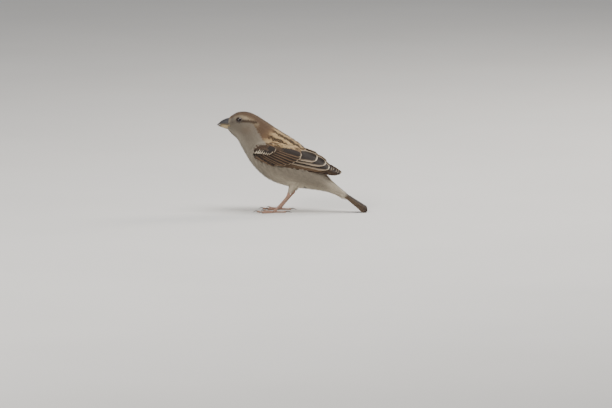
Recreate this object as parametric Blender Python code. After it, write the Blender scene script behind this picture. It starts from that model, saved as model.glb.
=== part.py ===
"""Adult female house sparrow, life size, standing still with its head up and its tail tip on the floor.

It faces -Y, its left side is +X, +Z is up, and the floor is Z = 0. Lengths here are millimetres,
turned into metres as each mesh is made. The head, neck, trunk and tail are one lofted body, parted
by thin cuts. Folded wings, feathered thighs, shanks, toes, claws, eyes and the two halves of the
bill are pieces of their own, each a clear gap from its neighbours.
"""

import math

import bmesh
import bpy
from mathutils import Vector
from mathutils.bvhtree import BVHTree

MM = 0.001
GAP = 0.3  # clearance between neighbouring pieces
SIDES = {"left": 1.0, "right": -1.0}

# The body: sections from the bill's base to the tail's tip. Each has its centre (y, z), how far its
# top leans back in degrees, its half height, its half width, how much narrower its top is than its
# bottom, and how far its edges droop.
BODY = [
    ("face", -53.3, 73.7, 11, 5.3, 4.6, 0.10, 0),
    ("brow", -48.9, 73.3, 11, 9.1, 7.9, 0.08, 0),
    ("crown", -43.6, 71.9, 13, 11.8, 10.1, 0.08, 0),
    ("cheek", -38.6, 68.5, 19, 14.3, 11.1, 0.12, 0),
    ("nape", -32.8, 63.3, 27, 16.0, 12.3, 0.14, 0),
    ("shoulder", -25.9, 56.4, 32, 17.9, 14.4, 0.14, 0),
    ("breast", -18.2, 49.8, 32, 19.4, 16.3, 0.12, 0),
    ("middle", -9.6, 43.9, 30, 20.1, 17.0, 0.10, 0),
    ("flank", 0.6, 38.6, 27, 18.4, 16.2, 0.10, 0),
    ("rump", 11.3, 32.9, 23, 14.2, 13.6, 0.10, 0),
    ("vent", 22.5, 26.6, 19, 8.9, 10.0, 0.05, 0),
    ("tail root", 32.0, 21.0, 24, 5.0, 7.0, 0, 0.1),
    ("coverts", 41.5, 15.5, 28, 2.8, 6.0, 0, 1.3),
    ("tail middle", 50.5, 11.0, 28, 1.35, 6.0, 0, 3.6),
    ("tail end", 58.5, 6.5, 28, 0.95, 5.9, 0, 5.0),
    ("tail tip", 63.0, 4.2, 28, 0.75, 5.7, 0, 5.2),
]
HEAD_END, NECK_END, TRUNK_END = 3.5, 5.2, 10.9  # the cuts, counted in sections from the face
BODY_AROUND = 32
TAIL_NOTCH = 1.2  # how far the outer tail feathers pass the middle ones

# The bill: where it meets the face, its tip, and the two lines that shape each half.
BILL_TIP_Y = {"upper": -63.4, "lower": -62.5}
CULMEN = (78.3, 77.2, 75.2, 72.15)  # height of the upper edge from base to tip
GAPE_UPPER = (72.35, 72.95, 72.7, 71.6)  # the upper half's cutting edge
GAPE_LOWER = (71.9, 72.5, 72.2, 71.35)  # the lower half's cutting edge
GONYS = (68.5, 69.1, 70.0, 70.9)  # the lower edge
BILL_HALF_WIDTH = {"upper": (4.0, 3.3, 2.15, 0.5), "lower": (3.7, 3.0, 1.9, 0.4)}

EYE_Y, EYE_Z = -43.9, 76.7
EYE_RADIUS = 2.8
EYE_STANDS_OUT = 0.75

# The folded wing, in side view: sections from the bend to the tip of the longest feather. Each has
# its upper edge (y, z, x), its lower edge (y, z, x), and its thickness.
WING = [
    ("bend", (-32.0, 54.6, 9.0), (-32.6, 50.7, 9.0), 0.8),
    ("wrist", (-27.0, 58.2, 9.5), (-29.6, 45.9, 11.0), 1.8),
    ("coverts", (-16.5, 58.8, 9.0), (-20.2, 42.0, 13.0), 2.4),
    ("secondaries", (-4.5, 56.4, 7.5), (-6.5, 39.3, 14.5), 2.3),
    ("inner tertials", (6.0, 53.2, 6.6), (7.8, 37.2, 14.4), 2.0),
    ("tertials", (14.6, 49.6, 5.0), (17.2, 35.6, 12.6), 1.7),
    ("tertial tips", (23.0, 44.2, 3.4), (25.2, 34.3, 10.0), 1.4),
    ("primaries", (32.0, 37.6, 2.8), (33.0, 32.8, 7.4), 1.1),
    ("wing tip", (41.2, 32.4, 3.4), (40.9, 31.3, 4.6), 0.7),
]
WING_BULGE = 1.6  # how far a section bows out between its two edges
WING_ALONG, WING_ACROSS = 23, 9
WING_CLEARANCE = 0.55  # sideways, from the trunk

# The legs: where each joint is at rest. The left foot stands a little ahead of the right one.
STANCE = 10.6  # from the middle plane to each foot
FOOT_AHEAD = {"left": -14.2, "right": -12.0}
HEEL_HEIGHT = 15.0
HEEL_BACK = 12.2  # the heel's distance behind the foot
THIGH_TOP = Vector((8.2, 6.0, 29.6))  # its y is measured from the heel
THIGH_RADIUS, KNEE_RADIUS = 6.2, 1.5
SHANK_RADIUS = 0.85
SHANK_TOP = 1.3  # the bare heel reaches this far up the thigh's line
SOLE_HALF_WIDTH, SOLE_HALF_LENGTH = 1.75, 1.35

# Each toe: its direction in degrees from straight ahead, outwards, its start beside the sole's
# middle, its length, and its claw's length.
TOES = {
    "inner": (-26, -1.35, 8.2, 3.8),
    "middle": (1, 0.0, 12.0, 4.2),
    "outer": (30, 1.35, 8.8, 3.6),
    "hind": (186, 0.0, 7.6, 5.4),
}
TOE_RADIUS = 0.74
TOE_JOINTS = 3
CLAW_RADIUS = 0.5
CLAW_CLEAR = 0.15  # the claws' tips stay this far off the floor

COLOURS = {
    "plumage": ((0.23, 0.18, 0.13), 0.8),
    "underparts": ((0.42, 0.37, 0.30), 0.85),
    "wing_feathers": ((0.12, 0.085, 0.06), 0.7),
    "bill_horn": ((0.10, 0.085, 0.08), 0.35),
    "bill_pale": ((0.45, 0.36, 0.22), 0.4),
    "leg_skin": ((0.36, 0.21, 0.16), 0.5),
    "claw_horn": ((0.05, 0.04, 0.035), 0.3),
    "eye_dark": ((0.012, 0.009, 0.008), 0.05),
}


def material(name):
    """The named finish, made once."""
    found = bpy.data.materials.get(name)
    if found:
        return found
    colour, roughness = COLOURS[name]
    made = bpy.data.materials.new(name)
    made.use_nodes = True
    shader = made.node_tree.nodes["Principled BSDF"]
    shader.inputs["Base Color"].default_value = (*colour, 1)
    shader.inputs["Roughness"].default_value = roughness
    shader.inputs["Metallic"].default_value = 0
    return made


def add_object(name, bm, finish):
    """A scene object from a closed bmesh in millimetres, shaded smooth but for its sharp rims."""
    if bm.calc_volume(signed=True) < 0:
        bmesh.ops.reverse_faces(bm, faces=bm.faces)
    bmesh.ops.scale(bm, vec=(MM, MM, MM), verts=bm.verts)
    mesh = bpy.data.meshes.new(name)
    bm.to_mesh(mesh)
    bm.free()
    mesh.shade_smooth()
    mesh.set_sharp_from_angle(angle=math.radians(50))
    mesh.materials.append(material(finish))
    made = bpy.data.objects.new(name, mesh)
    bpy.context.scene.collection.objects.link(made)
    return made


def cutter(name, bm):
    """A helper that a Boolean takes away, left out of the render and of the part."""
    made = add_object(name, bm, "plumage")
    made.hide_render = True
    made.display_type = "WIRE"
    return made


def cut(piece, tool):
    """Takes a cutter's shape out of a piece."""
    modifier = piece.modifiers.new("cut by " + tool.name, "BOOLEAN")
    modifier.operation = "DIFFERENCE"
    modifier.solver = "EXACT"
    modifier.object = tool


def smooth(values, t):
    """A smooth curve through evenly numbered values, read at t (0 is the first value)."""
    last = len(values) - 1
    i = min(int(t), last - 1)
    f = t - i
    a, b = values[max(i - 1, 0)], values[i]
    c, d = values[i + 1], values[min(i + 2, last)]
    return b + 0.5 * f * (c - a + f * (2 * a - 5 * b + 4 * c - d + f * (3 * (b - c) + d - a)))


def column(table, index):
    return [row[index] for row in table]


def skin(rings):
    """A closed bmesh over rings of equal length, its two ends capped flat."""
    bm = bmesh.new()
    loops = [[bm.verts.new(point) for point in ring] for ring in rings]
    around = len(loops[0])
    for first, second in zip(loops, loops[1:]):
        for j in range(around):
            k = (j + 1) % around
            bm.faces.new((first[j], first[k], second[k], second[j]))
    bm.faces.new(reversed(loops[0]))
    bm.faces.new(loops[-1])
    return bm


def body_ring(t, grow=0.0):
    """The points round the body at section t, moved outwards by grow."""
    y, z, lean, height, width, narrow, droop = (smooth(column(BODY, i), t) for i in range(1, 8))
    up = Vector((0, math.sin(math.radians(lean)), math.cos(math.radians(lean))))
    ring = []
    for j in range(BODY_AROUND):
        angle = math.tau * j / BODY_AROUND
        side, rise = math.cos(angle), math.sin(angle)
        x = (width + grow) * side * (1 - narrow * rise)
        point = Vector((x, y, z)) + up * ((height + grow) * rise - droop * side * side)
        ring.append(point)
    return ring


def body_length(start, end, step, grow=0.0):
    """A capped length of the body from section start to section end."""
    count = max(2, math.ceil((end - start) / step))
    return [body_ring(start + (end - start) * i / count, grow) for i in range(count + 1)]


def move_along(ring, distance):
    """A ring moved along the way that it faces, towards the tail."""
    normal = (ring[1] - ring[0]).cross(ring[BODY_AROUND // 4] - ring[0]).normalized()
    if normal.y < 0:
        normal.negate()
    return [point + normal * distance for point in ring]


def body_piece(name, start, end, step, finish):
    """A length of the body that stops half a gap short of each cut."""
    rings = body_length(start, end, step)
    if start > 0:
        rings[0] = move_along(rings[0], GAP / 2)
    if end < len(BODY) - 1:
        rings[-1] = move_along(rings[-1], -GAP / 2)
    return add_object(name, skin(rings), finish)


def add_tail():
    """The tail and its coverts, arched across and notched, with its outer edges on the floor."""
    last = len(BODY) - 1
    rings = body_length(TRUNK_END, last, 0.4)
    rings[0] = move_along(rings[0], GAP / 2)
    half_width = BODY[last][5]
    for share, ring in ((0.5, rings[-2]), (1.0, rings[-1])):
        for point in ring:
            point.y += share * TAIL_NOTCH * (abs(point.x) / half_width) ** 2
    for ring in rings:
        for point in ring:
            point.z = max(point.z, 0.0)
    return add_object("tail", skin(rings), "wing_feathers")


def body_rays(start, end):
    """A ray tree of the uncut body from section start to section end."""
    bm = skin(body_length(start, end, 0.3))
    tree = BVHTree.FromBMesh(bm)
    bm.free()
    return tree


def side_of(tree, y, z):
    """How far out the body reaches at (y, z) in side view, or 0 where it doesn't."""
    hit = tree.ray_cast(Vector((99, y, z)), Vector((-1, 0, 0)))[0]
    return hit.x if hit else 0.0


def ball(centre, radius, around=16):
    bm = bmesh.new()
    bmesh.ops.create_uvsphere(bm, u_segments=around, v_segments=around // 2 + 2, radius=radius)
    bmesh.ops.translate(bm, vec=centre, verts=bm.verts)
    return bm


def add_eyes(head):
    """The two eyeballs, in sockets cut from the head."""
    out = side_of(body_rays(0, HEAD_END), EYE_Y, EYE_Z) - EYE_RADIUS + EYE_STANDS_OUT
    for side, sign in SIDES.items():
        centre = Vector((sign * out, EYE_Y, EYE_Z))
        cut(head, cutter("socket_" + side, ball(centre, EYE_RADIUS + GAP)))
        add_object("eye_" + side, ball(centre, EYE_RADIUS), "eye_dark")


def face_plane(z):
    """Where the head's flat front is, at height z."""
    _, y, middle, lean = BODY[0][:4]
    return y + (z - middle) * math.tan(math.radians(lean))


def add_bill(half, outer, edge, finish):
    """One half of the bill: an arch from its outer line to its cutting edge, drawn to a blunt tip."""
    rings = []
    steps, around = 12, 11
    last = len(outer) - 1
    for i in range(steps + 1):
        s = i / steps
        top, bottom = smooth(outer, s * last), smooth(edge, s * last)
        width = smooth(BILL_HALF_WIDTH[half], s * last)
        ring = []
        for j in range(around + 1):
            angle = math.pi * j / around
            z = bottom + (top - bottom) * math.sin(angle) ** 0.85
            y = (face_plane(z) - GAP) * (1 - s) + BILL_TIP_Y[half] * s
            ring.append(Vector((width * math.cos(angle), y, z)))
        rings.append(ring)
    return add_object("bill_" + half, skin(rings), finish)


def wing_section(u):
    """Upper edge, lower edge and thickness of the folded wing at u, from 0 (bend) to 1 (tip)."""
    t = u * (len(WING) - 1)
    edges = []
    for which in (1, 2):
        y, z, x = (smooth([row[which][k] for row in WING], t) for k in range(3))
        edges.append(Vector((x, y, z)))
    return edges[0], edges[1], smooth(column(WING, 3), t)


def softer_max(a, b, blend=1.2):
    """The larger of two numbers, rounded where they are nearly the same."""
    share = max(0.0, min(1.0, 0.5 + 0.5 * (a - b) / blend))
    return b + (a - b) * share + blend * share * (1 - share) * 0.5


def wing_inner_face(tree):
    """The grid of points on the wing's inner face: over the trunk, then clear of it to the tip."""
    grid = []
    for i in range(WING_ALONG + 1):
        upper, lower, _ = wing_section(i / WING_ALONG)
        row = []
        for j in range(WING_ACROSS + 1):
            v = j / WING_ACROSS
            point = upper.lerp(lower, v)
            free = point.x + WING_BULGE * math.sin(math.pi * v)
            point.x = softer_max(side_of(tree, point.y, point.z) + WING_CLEARANCE, free)
            row.append(point)
        grid.append(row)
    return grid


def grid_normal(grid, i, j):
    """The outward normal of a grid of points at (i, j)."""
    rows, columns = len(grid) - 1, len(grid[0]) - 1
    along = grid[min(i + 1, rows)][j] - grid[max(i - 1, 0)][j]
    across = grid[i][min(j + 1, columns)] - grid[i][max(j - 1, 0)]
    normal = along.cross(across).normalized()
    return -normal if normal.x < 0 else normal


def add_wing(side, sign, inner):
    """A folded wing: its inner face, an outer face its own thickness away, and the rim between."""
    bm = bmesh.new()
    faces = []
    for outer in (False, True):
        layer = []
        for i, row in enumerate(inner):
            thick = wing_section(i / WING_ALONG)[2]
            made = []
            for j, point in enumerate(row):
                v = j / WING_ACROSS
                rise = thick * (0.55 + 0.45 * math.sin(math.pi * v)) if outer else 0.0
                place = point + grid_normal(inner, i, j) * rise
                made.append(bm.verts.new((sign * place.x, place.y, place.z)))
            layer.append(made)
        faces.append(layer)
    low, high = faces
    rows, columns = len(inner), len(inner[0])
    for layer in faces:
        for i in range(rows - 1):
            for j in range(columns - 1):
                corners = [layer[i][j], layer[i][j + 1], layer[i + 1][j + 1], layer[i + 1][j]]
                bm.faces.new(corners if layer is low else reversed(corners))
    rim = [(i, 0) for i in range(rows)]
    rim += [(rows - 1, j) for j in range(1, columns)]
    rim += [(i, columns - 1) for i in range(rows - 2, -1, -1)]
    rim += [(0, j) for j in range(columns - 2, 0, -1)]
    for (i, j), (m, n) in zip(rim, rim[1:] + rim[:1]):
        bm.faces.new((low[i][j], low[m][n], high[m][n], high[i][j]))
    bmesh.ops.recalc_face_normals(bm, faces=bm.faces)
    return add_object("wing_" + side, bm, "wing_feathers")


def limb_rings(stations, sideways, around):
    """Rings round a path. Each station is (point, half width, half depth). Nothing passes the floor."""
    rings = []
    last = len(stations) - 1
    for i, (point, width, depth) in enumerate(stations):
        ahead = stations[min(i + 1, last)][0] - stations[max(i - 1, 0)][0]
        up = sideways.cross(ahead).normalized()
        ring = []
        for j in range(around):
            angle = math.tau * (j + 0.5) / around
            place = point + sideways * (width * math.cos(angle)) + up * (depth * math.sin(angle))
            place.z = max(place.z, 0.0)
            ring.append(place)
        rings.append(ring)
    return rings


def leg_line(side, sign):
    """The heel, the top of the thigh, and the direction from the one to the other."""
    heel = Vector((sign * STANCE, FOOT_AHEAD[side] + HEEL_BACK, HEEL_HEIGHT))
    top = Vector((sign * THIGH_TOP.x, heel.y + THIGH_TOP.y, THIGH_TOP.z))
    return heel, top, (top - heel).normalized()


def add_thigh(side, sign, body_space):
    """The feathered thigh, from the belly down to just above the heel."""
    heel, top, upwards = leg_line(side, sign)
    bottom = heel + upwards * (SHANK_TOP + GAP)
    stations = []
    steps = 7
    for i in range(steps + 1):
        s = i / steps
        radius = KNEE_RADIUS + (THIGH_RADIUS - KNEE_RADIUS) * (1 - s) ** 1.15
        stations.append((top.lerp(bottom, s), radius * 0.86, radius))
    made = add_object("thigh_" + side, skin(limb_rings(stations, Vector((1, 0, 0)), 16)), "plumage")
    cut(made, body_space)


def add_shank(side, sign):
    """The bare shank: the heel's bend, the straight run, and the sole, which ends flat on the floor."""
    heel, _, upwards = leg_line(side, sign)
    foot = Vector((heel.x, FOOT_AHEAD[side], 0))
    run_end = foot + Vector((0, 1.5, 2.6))
    stations = [
        (heel + upwards * SHANK_TOP, 1.05, 1.15),
        (heel + upwards * (SHANK_TOP - 0.8), 1.15, 1.3),
        (heel + Vector((0, -0.5, -0.35)), 1.05, 1.2),
    ]
    for s in (0.16, 0.35, 0.65, 0.88):
        radius = SHANK_RADIUS * (1.06 if s > 0.8 else 0.96)
        stations.append(((heel + Vector((0, -0.5, -0.5))).lerp(run_end, s), radius * 0.86, radius))
    stations += [
        (foot + Vector((0, 0.55, 1.75)), 1.35, 1.2),
        (foot + Vector((0, 0.1, 0.95)), SOLE_HALF_WIDTH * 0.98, 1.35),
        (foot + Vector((0, 0, 0.35)), SOLE_HALF_WIDTH, SOLE_HALF_LENGTH),
        (foot, SOLE_HALF_WIDTH * 0.85, SOLE_HALF_LENGTH * 0.85),
    ]
    add_object("shank_" + side, skin(limb_rings(stations, Vector((1, 0, 0)), 14)), "leg_skin")


def toe_frame(side, sign, toe):
    """Where a toe starts, which way it points, and the level line across it."""
    turn, beside, _, _ = TOES[toe]
    angle = math.radians(turn)
    ahead = Vector((sign * math.sin(angle), -math.cos(angle), 0))
    across = Vector((-ahead.y, ahead.x, 0))
    reach = SOLE_HALF_LENGTH + GAP
    start = Vector((sign * (STANCE + beside), FOOT_AHEAD[side], 0)) + ahead * reach
    return start, ahead, across


def add_toe(side, sign, toe):
    """A toe with a pad under each joint, flat where it stands."""
    start, ahead, across = toe_frame(side, sign, toe)
    length = TOES[toe][2]
    steps = 9
    stations = []
    for i in range(steps + 1):
        s = i / steps
        pad = 0.5 + 0.5 * math.cos(math.tau * s * TOE_JOINTS)
        radius = TOE_RADIUS * (1 - 0.22 * s) * (0.88 + 0.14 * pad)
        if i == 0:
            radius = 0.52
        height = radius * (0.86 + 0.22 * (1 - pad))
        stations.append((start + ahead * (length * s) + Vector((0, 0, height)), radius, radius))
    add_object(f"toe_{toe}_{side}", skin(limb_rings(stations, across, 8)), "leg_skin")


def add_claw(side, sign, toe):
    """A claw: a tapering horn that arches up from the toe and down to just above the floor."""
    start, ahead, across = toe_frame(side, sign, toe)
    _, _, toe_length, length = TOES[toe]
    root = start + ahead * (toe_length + GAP)
    stations = []
    steps = 5
    for i in range(steps + 1):
        s = i / steps
        radius = CLAW_RADIUS * (1 - 0.82 * s**1.3)
        rise = 0.62 + 0.9 * math.sin(math.pi * min(1.0, s * 0.95 + 0.12)) - 0.42 * s
        height = max(rise, radius + CLAW_CLEAR)
        stations.append((root + ahead * (length * 0.92 * s) + Vector((0, 0, height)), radius, radius))
    add_object(f"claw_{toe}_{side}", skin(limb_rings(stations, across, 6)), "claw_horn")


def main():
    for old in list(bpy.data.objects):
        bpy.data.objects.remove(old)

    head = body_piece("head", 0, HEAD_END, 0.25, "plumage")
    body_piece("neck", HEAD_END, NECK_END, 0.34, "plumage")
    body_piece("trunk", NECK_END, TRUNK_END, 0.36, "underparts")
    add_tail()
    add_eyes(head)
    add_bill("upper", CULMEN, GAPE_UPPER, "bill_horn")
    add_bill("lower", GONYS, GAPE_LOWER, "bill_pale")

    inner = wing_inner_face(body_rays(HEAD_END - 1, TRUNK_END + 2))
    body_space = cutter("trunk_space", skin(body_length(NECK_END - 1, TRUNK_END, 0.3, GAP + 0.1)))
    for side, sign in SIDES.items():
        add_wing(side, sign, inner)
        add_thigh(side, sign, body_space)
        add_shank(side, sign)
        for toe in TOES:
            add_toe(side, sign, toe)
            add_claw(side, sign, toe)


main()
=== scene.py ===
"""Adult female house sparrow, life size: skin, feathers, bill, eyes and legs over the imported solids.

It faces -Y, its left side is +X, +Z is up and the floor is Z = 0. Meshes are in metres. Sizes in
this file are millimetres, turned into metres as each mesh is made.
"""

import math

import bpy
import numpy as np
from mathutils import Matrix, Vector, kdtree
from mathutils.bvhtree import BVHTree


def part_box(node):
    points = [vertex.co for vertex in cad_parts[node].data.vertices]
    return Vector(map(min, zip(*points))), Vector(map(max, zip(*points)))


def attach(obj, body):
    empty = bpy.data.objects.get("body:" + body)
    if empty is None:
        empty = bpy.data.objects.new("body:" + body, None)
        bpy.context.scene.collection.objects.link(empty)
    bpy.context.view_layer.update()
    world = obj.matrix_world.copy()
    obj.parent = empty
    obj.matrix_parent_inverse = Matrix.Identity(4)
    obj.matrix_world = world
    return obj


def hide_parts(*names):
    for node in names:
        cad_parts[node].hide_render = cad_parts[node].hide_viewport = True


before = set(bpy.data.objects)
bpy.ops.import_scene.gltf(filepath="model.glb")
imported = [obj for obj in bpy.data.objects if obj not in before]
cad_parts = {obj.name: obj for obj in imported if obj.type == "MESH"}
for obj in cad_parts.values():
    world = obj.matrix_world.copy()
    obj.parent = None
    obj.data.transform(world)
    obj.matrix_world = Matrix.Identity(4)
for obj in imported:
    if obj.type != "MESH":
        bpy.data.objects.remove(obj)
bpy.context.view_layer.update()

bl_info = {
    "name": "House sparrow",
    "version": (1, 0, 0),
    "blender": (4, 5, 0),
    "location": "3D View > Sidebar > Sparrow",
    "description": "Gives a life-size female house sparrow its skin, feathers, bill, eyes and legs",
    "category": "Object",
}

MM = 0.001
SIDES = {"left": 1.0, "right": -1.0}
TOES = ("inner", "middle", "outer", "hind")

# The middle of the body in side view, (y, z), from the bill's base to the tail's tip.
SPINE = (
    (-54.0, 73.8), (-49.0, 73.6), (-43.6, 72.2), (-38.6, 68.8), (-32.8, 63.3), (-25.9, 56.4),
    (-18.2, 49.8), (-9.6, 43.9), (0.6, 38.6), (11.3, 32.9), (22.5, 26.6), (32.0, 21),
    (41.5, 15.5), (50.5, 11), (62.0, 4.6),
)
# Heights in side view, (y, z), where the brown of the crown, nape and back gives way to the sides.
BROWN_EDGE = (
    (-54, 77.2), (-49, 79.2), (-44, 80.9), (-39, 80.5), (-34, 77), (-29, 70.1), (-24, 62.1),
    (-17, 56.6), (0, 50.6), (12, 44.6), (24, 34.6), (34, 25.6), (64, 6.6),
)
EYE_LINE = ((-41.2, 76.4), (-36.0, 76.3), (-30.0, 75.2))
BROW_LINE = ((-47.5, 79.2), (-43.0, 79.8), (-38.0, 78.9), (-33.0, 76.8), (-28.5, 73.4))


def colour(name, text, value):
    """A colour that a user can change, in display values."""
    return bpy.props.FloatVectorProperty(
        name=name, description=text, subtype="COLOR_GAMMA", size=3, min=0, max=1, default=value
    )


def length(name, text, value):
    """A length in millimetres that a user can change."""
    return bpy.props.FloatProperty(name=name, description=text, default=value, min=0)


class SparrowColours(bpy.types.PropertyGroup):
    """Colours of the feathers and the bare parts."""

    crown: colour("Crown", "Forehead, crown and nape", (0.405, 0.32, 0.245))
    brow: colour("Brow", "Stripe over and behind the eye", (0.66, 0.585, 0.47))
    eye_line: colour("Eye line", "Stripe behind the eye", (0.24, 0.175, 0.13))
    cheek: colour("Cheek", "Lores, cheeks and sides of the neck", (0.465, 0.43, 0.38))
    throat: colour("Throat", "Chin and throat", (0.585, 0.55, 0.495))
    breast: colour("Breast", "Breast and flanks", (0.545, 0.508, 0.45))
    belly: colour("Belly", "Belly, vent and under tail", (0.71, 0.665, 0.59))
    back: colour("Back", "Edges of the back's feathers", (0.565, 0.435, 0.295))
    back_pale: colour("Pale back", "Pale lines along the back", (0.76, 0.665, 0.50))
    back_streak: colour("Back streaks", "Dark streaks on the back", (0.125, 0.085, 0.06))
    rump: colour("Rump", "Rump and upper tail coverts", (0.46, 0.38, 0.295))
    shoulder: colour("Shoulder", "Lesser coverts", (0.33, 0.255, 0.20))
    wing_dark: colour("Wing centres", "Dark centres of the wing's feathers", (0.135, 0.10, 0.08))
    wing_edge: colour("Wing edges", "Edges of the wing's feathers", (0.455, 0.36, 0.27))
    wing_pale: colour("Wing tips", "Pale tips and the wing's bar", (0.78, 0.73, 0.645))
    tail: colour("Tail", "Tail feathers", (0.165, 0.13, 0.105))
    tail_edge: colour("Tail edges", "Edges of the tail feathers", (0.44, 0.365, 0.285))
    bill_upper: colour("Upper bill", "Horn of the upper half", (0.19, 0.183, 0.195))
    bill_lower: colour("Lower bill", "Horn of the lower half", (0.62, 0.55, 0.42))
    leg: colour("Legs", "Bare skin of the legs", (0.62, 0.485, 0.415))
    claw: colour("Claws", "Horn of the claws", (0.27, 0.225, 0.195))


class SparrowSizes(bpy.types.PropertyGroup):
    """Sizes of the feathers and the bare parts, in millimetres."""

    voxel: length("Skin detail", "Size of the skin's cells", 0.5)
    coat: length("Coat depth", "How far the skin lies under the feathers' tips", 1.5)
    feather: length("Feather scale", "Length of the body's feathers, 1 as in life", 1.0)
    vane: length("Vane thickness", "Thickness of a wing or tail feather at its shaft", 0.22)
    eye_opening: length("Eye opening", "Radius of the opening between the lids", 1.95)


def linear(rgb):
    """Display values as the shader's linear ones."""
    rgb = np.asarray(tuple(rgb), float)
    return np.where(rgb <= 0.04045, rgb / 12.92, ((rgb + 0.055) / 1.055) ** 2.4)


def palette():
    """The colours as they are set now, linear, by name."""
    chosen = bpy.context.scene.sparrow_colours
    return {name: linear(getattr(chosen, name)) for name in SparrowColours.__annotations__}


def unit(vectors):
    """Vectors at length 1."""
    return vectors / np.maximum(np.linalg.norm(vectors, axis=-1, keepdims=True), 1e-9)


def dots(a, b):
    """The dot product of each row."""
    return (a * b).sum(-1, keepdims=True)


def step(low, high, values):
    """0 below low, 1 above high, and a smooth rise between."""
    t = np.clip((values - low) / (high - low), 0, 1)
    return t * t * (3 - 2 * t)


def mix(a, b, share):
    """Colours a turned towards b by share."""
    share = np.asarray(share)[..., None]
    return a * (1 - share) + b * share


def read_off(table, places):
    """What a table of (place, value) pairs gives at each place."""
    table = np.asarray(table, float)
    return np.interp(places, table[:, 0], table[:, 1])


def near_line(line, y, z):
    """How far each (y, z) is from a side-view line."""
    line = np.asarray(line, float)
    best = np.full(np.shape(y), 1e9)
    for (y0, z0), (y1, z1) in zip(line, line[1:]):
        dy, dz = y1 - y0, z1 - z0
        t = np.clip(((y - y0) * dy + (z - z0) * dz) / (dy * dy + dz * dz), 0, 1)
        best = np.minimum(best, np.hypot(y - y0 - t * dy, z - z0 - t * dz))
    return best


# ---- objects and meshes


def deselect():
    """Nothing selected, in object mode."""
    if bpy.context.mode != "OBJECT":
        bpy.ops.object.mode_set(mode="OBJECT")
    bpy.ops.object.select_all(action="DESELECT")


def only(piece):
    """This piece alone is selected and active."""
    deselect()
    piece.select_set(True)
    bpy.context.view_layer.objects.active = piece
    return piece


def apply_modifier(piece, kind, **settings):
    """Adds a modifier and applies it."""
    modifier = piece.modifiers.new(kind.title(), kind)
    for key, value in settings.items():
        setattr(modifier, key, value)
    only(piece)
    bpy.ops.object.modifier_apply(modifier=modifier.name)


def join(pieces, name):
    """Several pieces as one object."""
    deselect()
    for piece in pieces:
        piece.select_set(True)
    bpy.context.view_layer.objects.active = pieces[0]
    if len(pieces) > 1:
        bpy.ops.object.join()
    pieces[0].name = name
    pieces[0].data.name = name
    return pieces[0]


def edit(piece):
    """Edit mode, with all of this piece selected."""
    only(piece)
    bpy.ops.object.mode_set(mode="EDIT")
    bpy.ops.mesh.select_all(action="SELECT")


def copy_of(name, nodes):
    """One object made of copies of solids, with their loose triangles merged."""
    copies = []
    for node in nodes:
        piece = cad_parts[node].copy()
        piece.data = piece.data.copy()
        piece.data.materials.clear()
        piece.parent = None
        for key in list(piece.keys()):
            del piece[key]
        bpy.context.scene.collection.objects.link(piece)
        copies.append(piece)
    edit(join(copies, name))
    bpy.ops.mesh.remove_doubles(threshold=1e-6)
    bpy.ops.object.mode_set(mode="OBJECT")
    return copies[0]


def cut_away(piece, point, normal):
    """Cuts a piece by a plane, drops what lies on the normal's side and closes the cut."""
    edit(piece)
    bpy.ops.mesh.bisect(
        plane_co=[c * MM for c in point], plane_no=normal, use_fill=True, clear_outer=True
    )
    bpy.ops.object.mode_set(mode="OBJECT")


def swell(piece, reach):
    """Moves a piece's surface out by reach, in millimetres."""
    apply_modifier(piece, "DISPLACE", strength=reach * MM, mid_level=0)


def one_skin(piece, voxel, smoothing):
    """Runs a joined piece into one closed surface and softens it."""
    apply_modifier(piece, "REMESH", mode="VOXEL", voxel_size=voxel * MM, adaptivity=0)
    apply_modifier(piece, "SMOOTH", factor=0.5, iterations=smoothing)
    piece.data.shade_smooth()
    return piece


def read(mesh, what="co"):
    """A mesh's places in millimetres, or its vertex normals."""
    values = np.empty(len(mesh.vertices) * 3, np.float32)
    mesh.vertices.foreach_get(what, values)
    values = values.reshape(-1, 3).astype(float)
    return values / MM if what == "co" else values


def write(mesh, places):
    """Puts a mesh's vertices at places in millimetres."""
    mesh.vertices.foreach_set("co", (places * MM).astype(np.float32).ravel())
    mesh.update()


def triangles_of(mesh):
    """The vertices of each of a mesh's triangles."""
    mesh.calc_loop_triangles()
    found = np.empty(len(mesh.loop_triangles) * 3, np.int32)
    mesh.loop_triangles.foreach_get("vertices", found)
    return found.reshape(-1, 3)


def tree_of(places, faces):
    """Triangles that rays and nearest places can be looked up in."""
    return BVHTree.FromPolygons(places.tolist(), faces.tolist())


def box_of(node):
    """A solid's lowest and highest corners, in millimetres."""
    return [np.array(corner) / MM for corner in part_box(node)]


def paint(mesh, colours):
    """A colour for each vertex, for the material to read."""
    layer = mesh.color_attributes.new(name="markings", type="FLOAT_COLOR", domain="POINT")
    rgba = np.ones((len(mesh.vertices), 4), np.float32)
    rgba[:, :3] = np.clip(colours, 0, 1)
    layer.data.foreach_set("color", rgba.ravel())


def add_map(mesh, name, spots):
    """A UV map from a spot for each vertex."""
    corners = np.empty(len(mesh.loops), np.int32)
    mesh.loops.foreach_get("vertex_index", corners)
    layer = mesh.uv_layers.new(name=name)
    layer.data.foreach_set("uv", spots[corners].astype(np.float32).ravel())


def join_frame(piece, slot, *nodes):
    """The piece rides on the bird and stands for the nodes it names. Its slot is not used."""
    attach(piece, "root")
    if nodes:
        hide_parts(*nodes)
    return piece


def dress(piece, colours, finish, slot, *nodes):
    """Paints a piece, gives it its finish and sets it in the frame."""
    paint(piece.data, colours)
    piece.data.materials.append(finish)
    return join_frame(piece, slot, *nodes)


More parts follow.
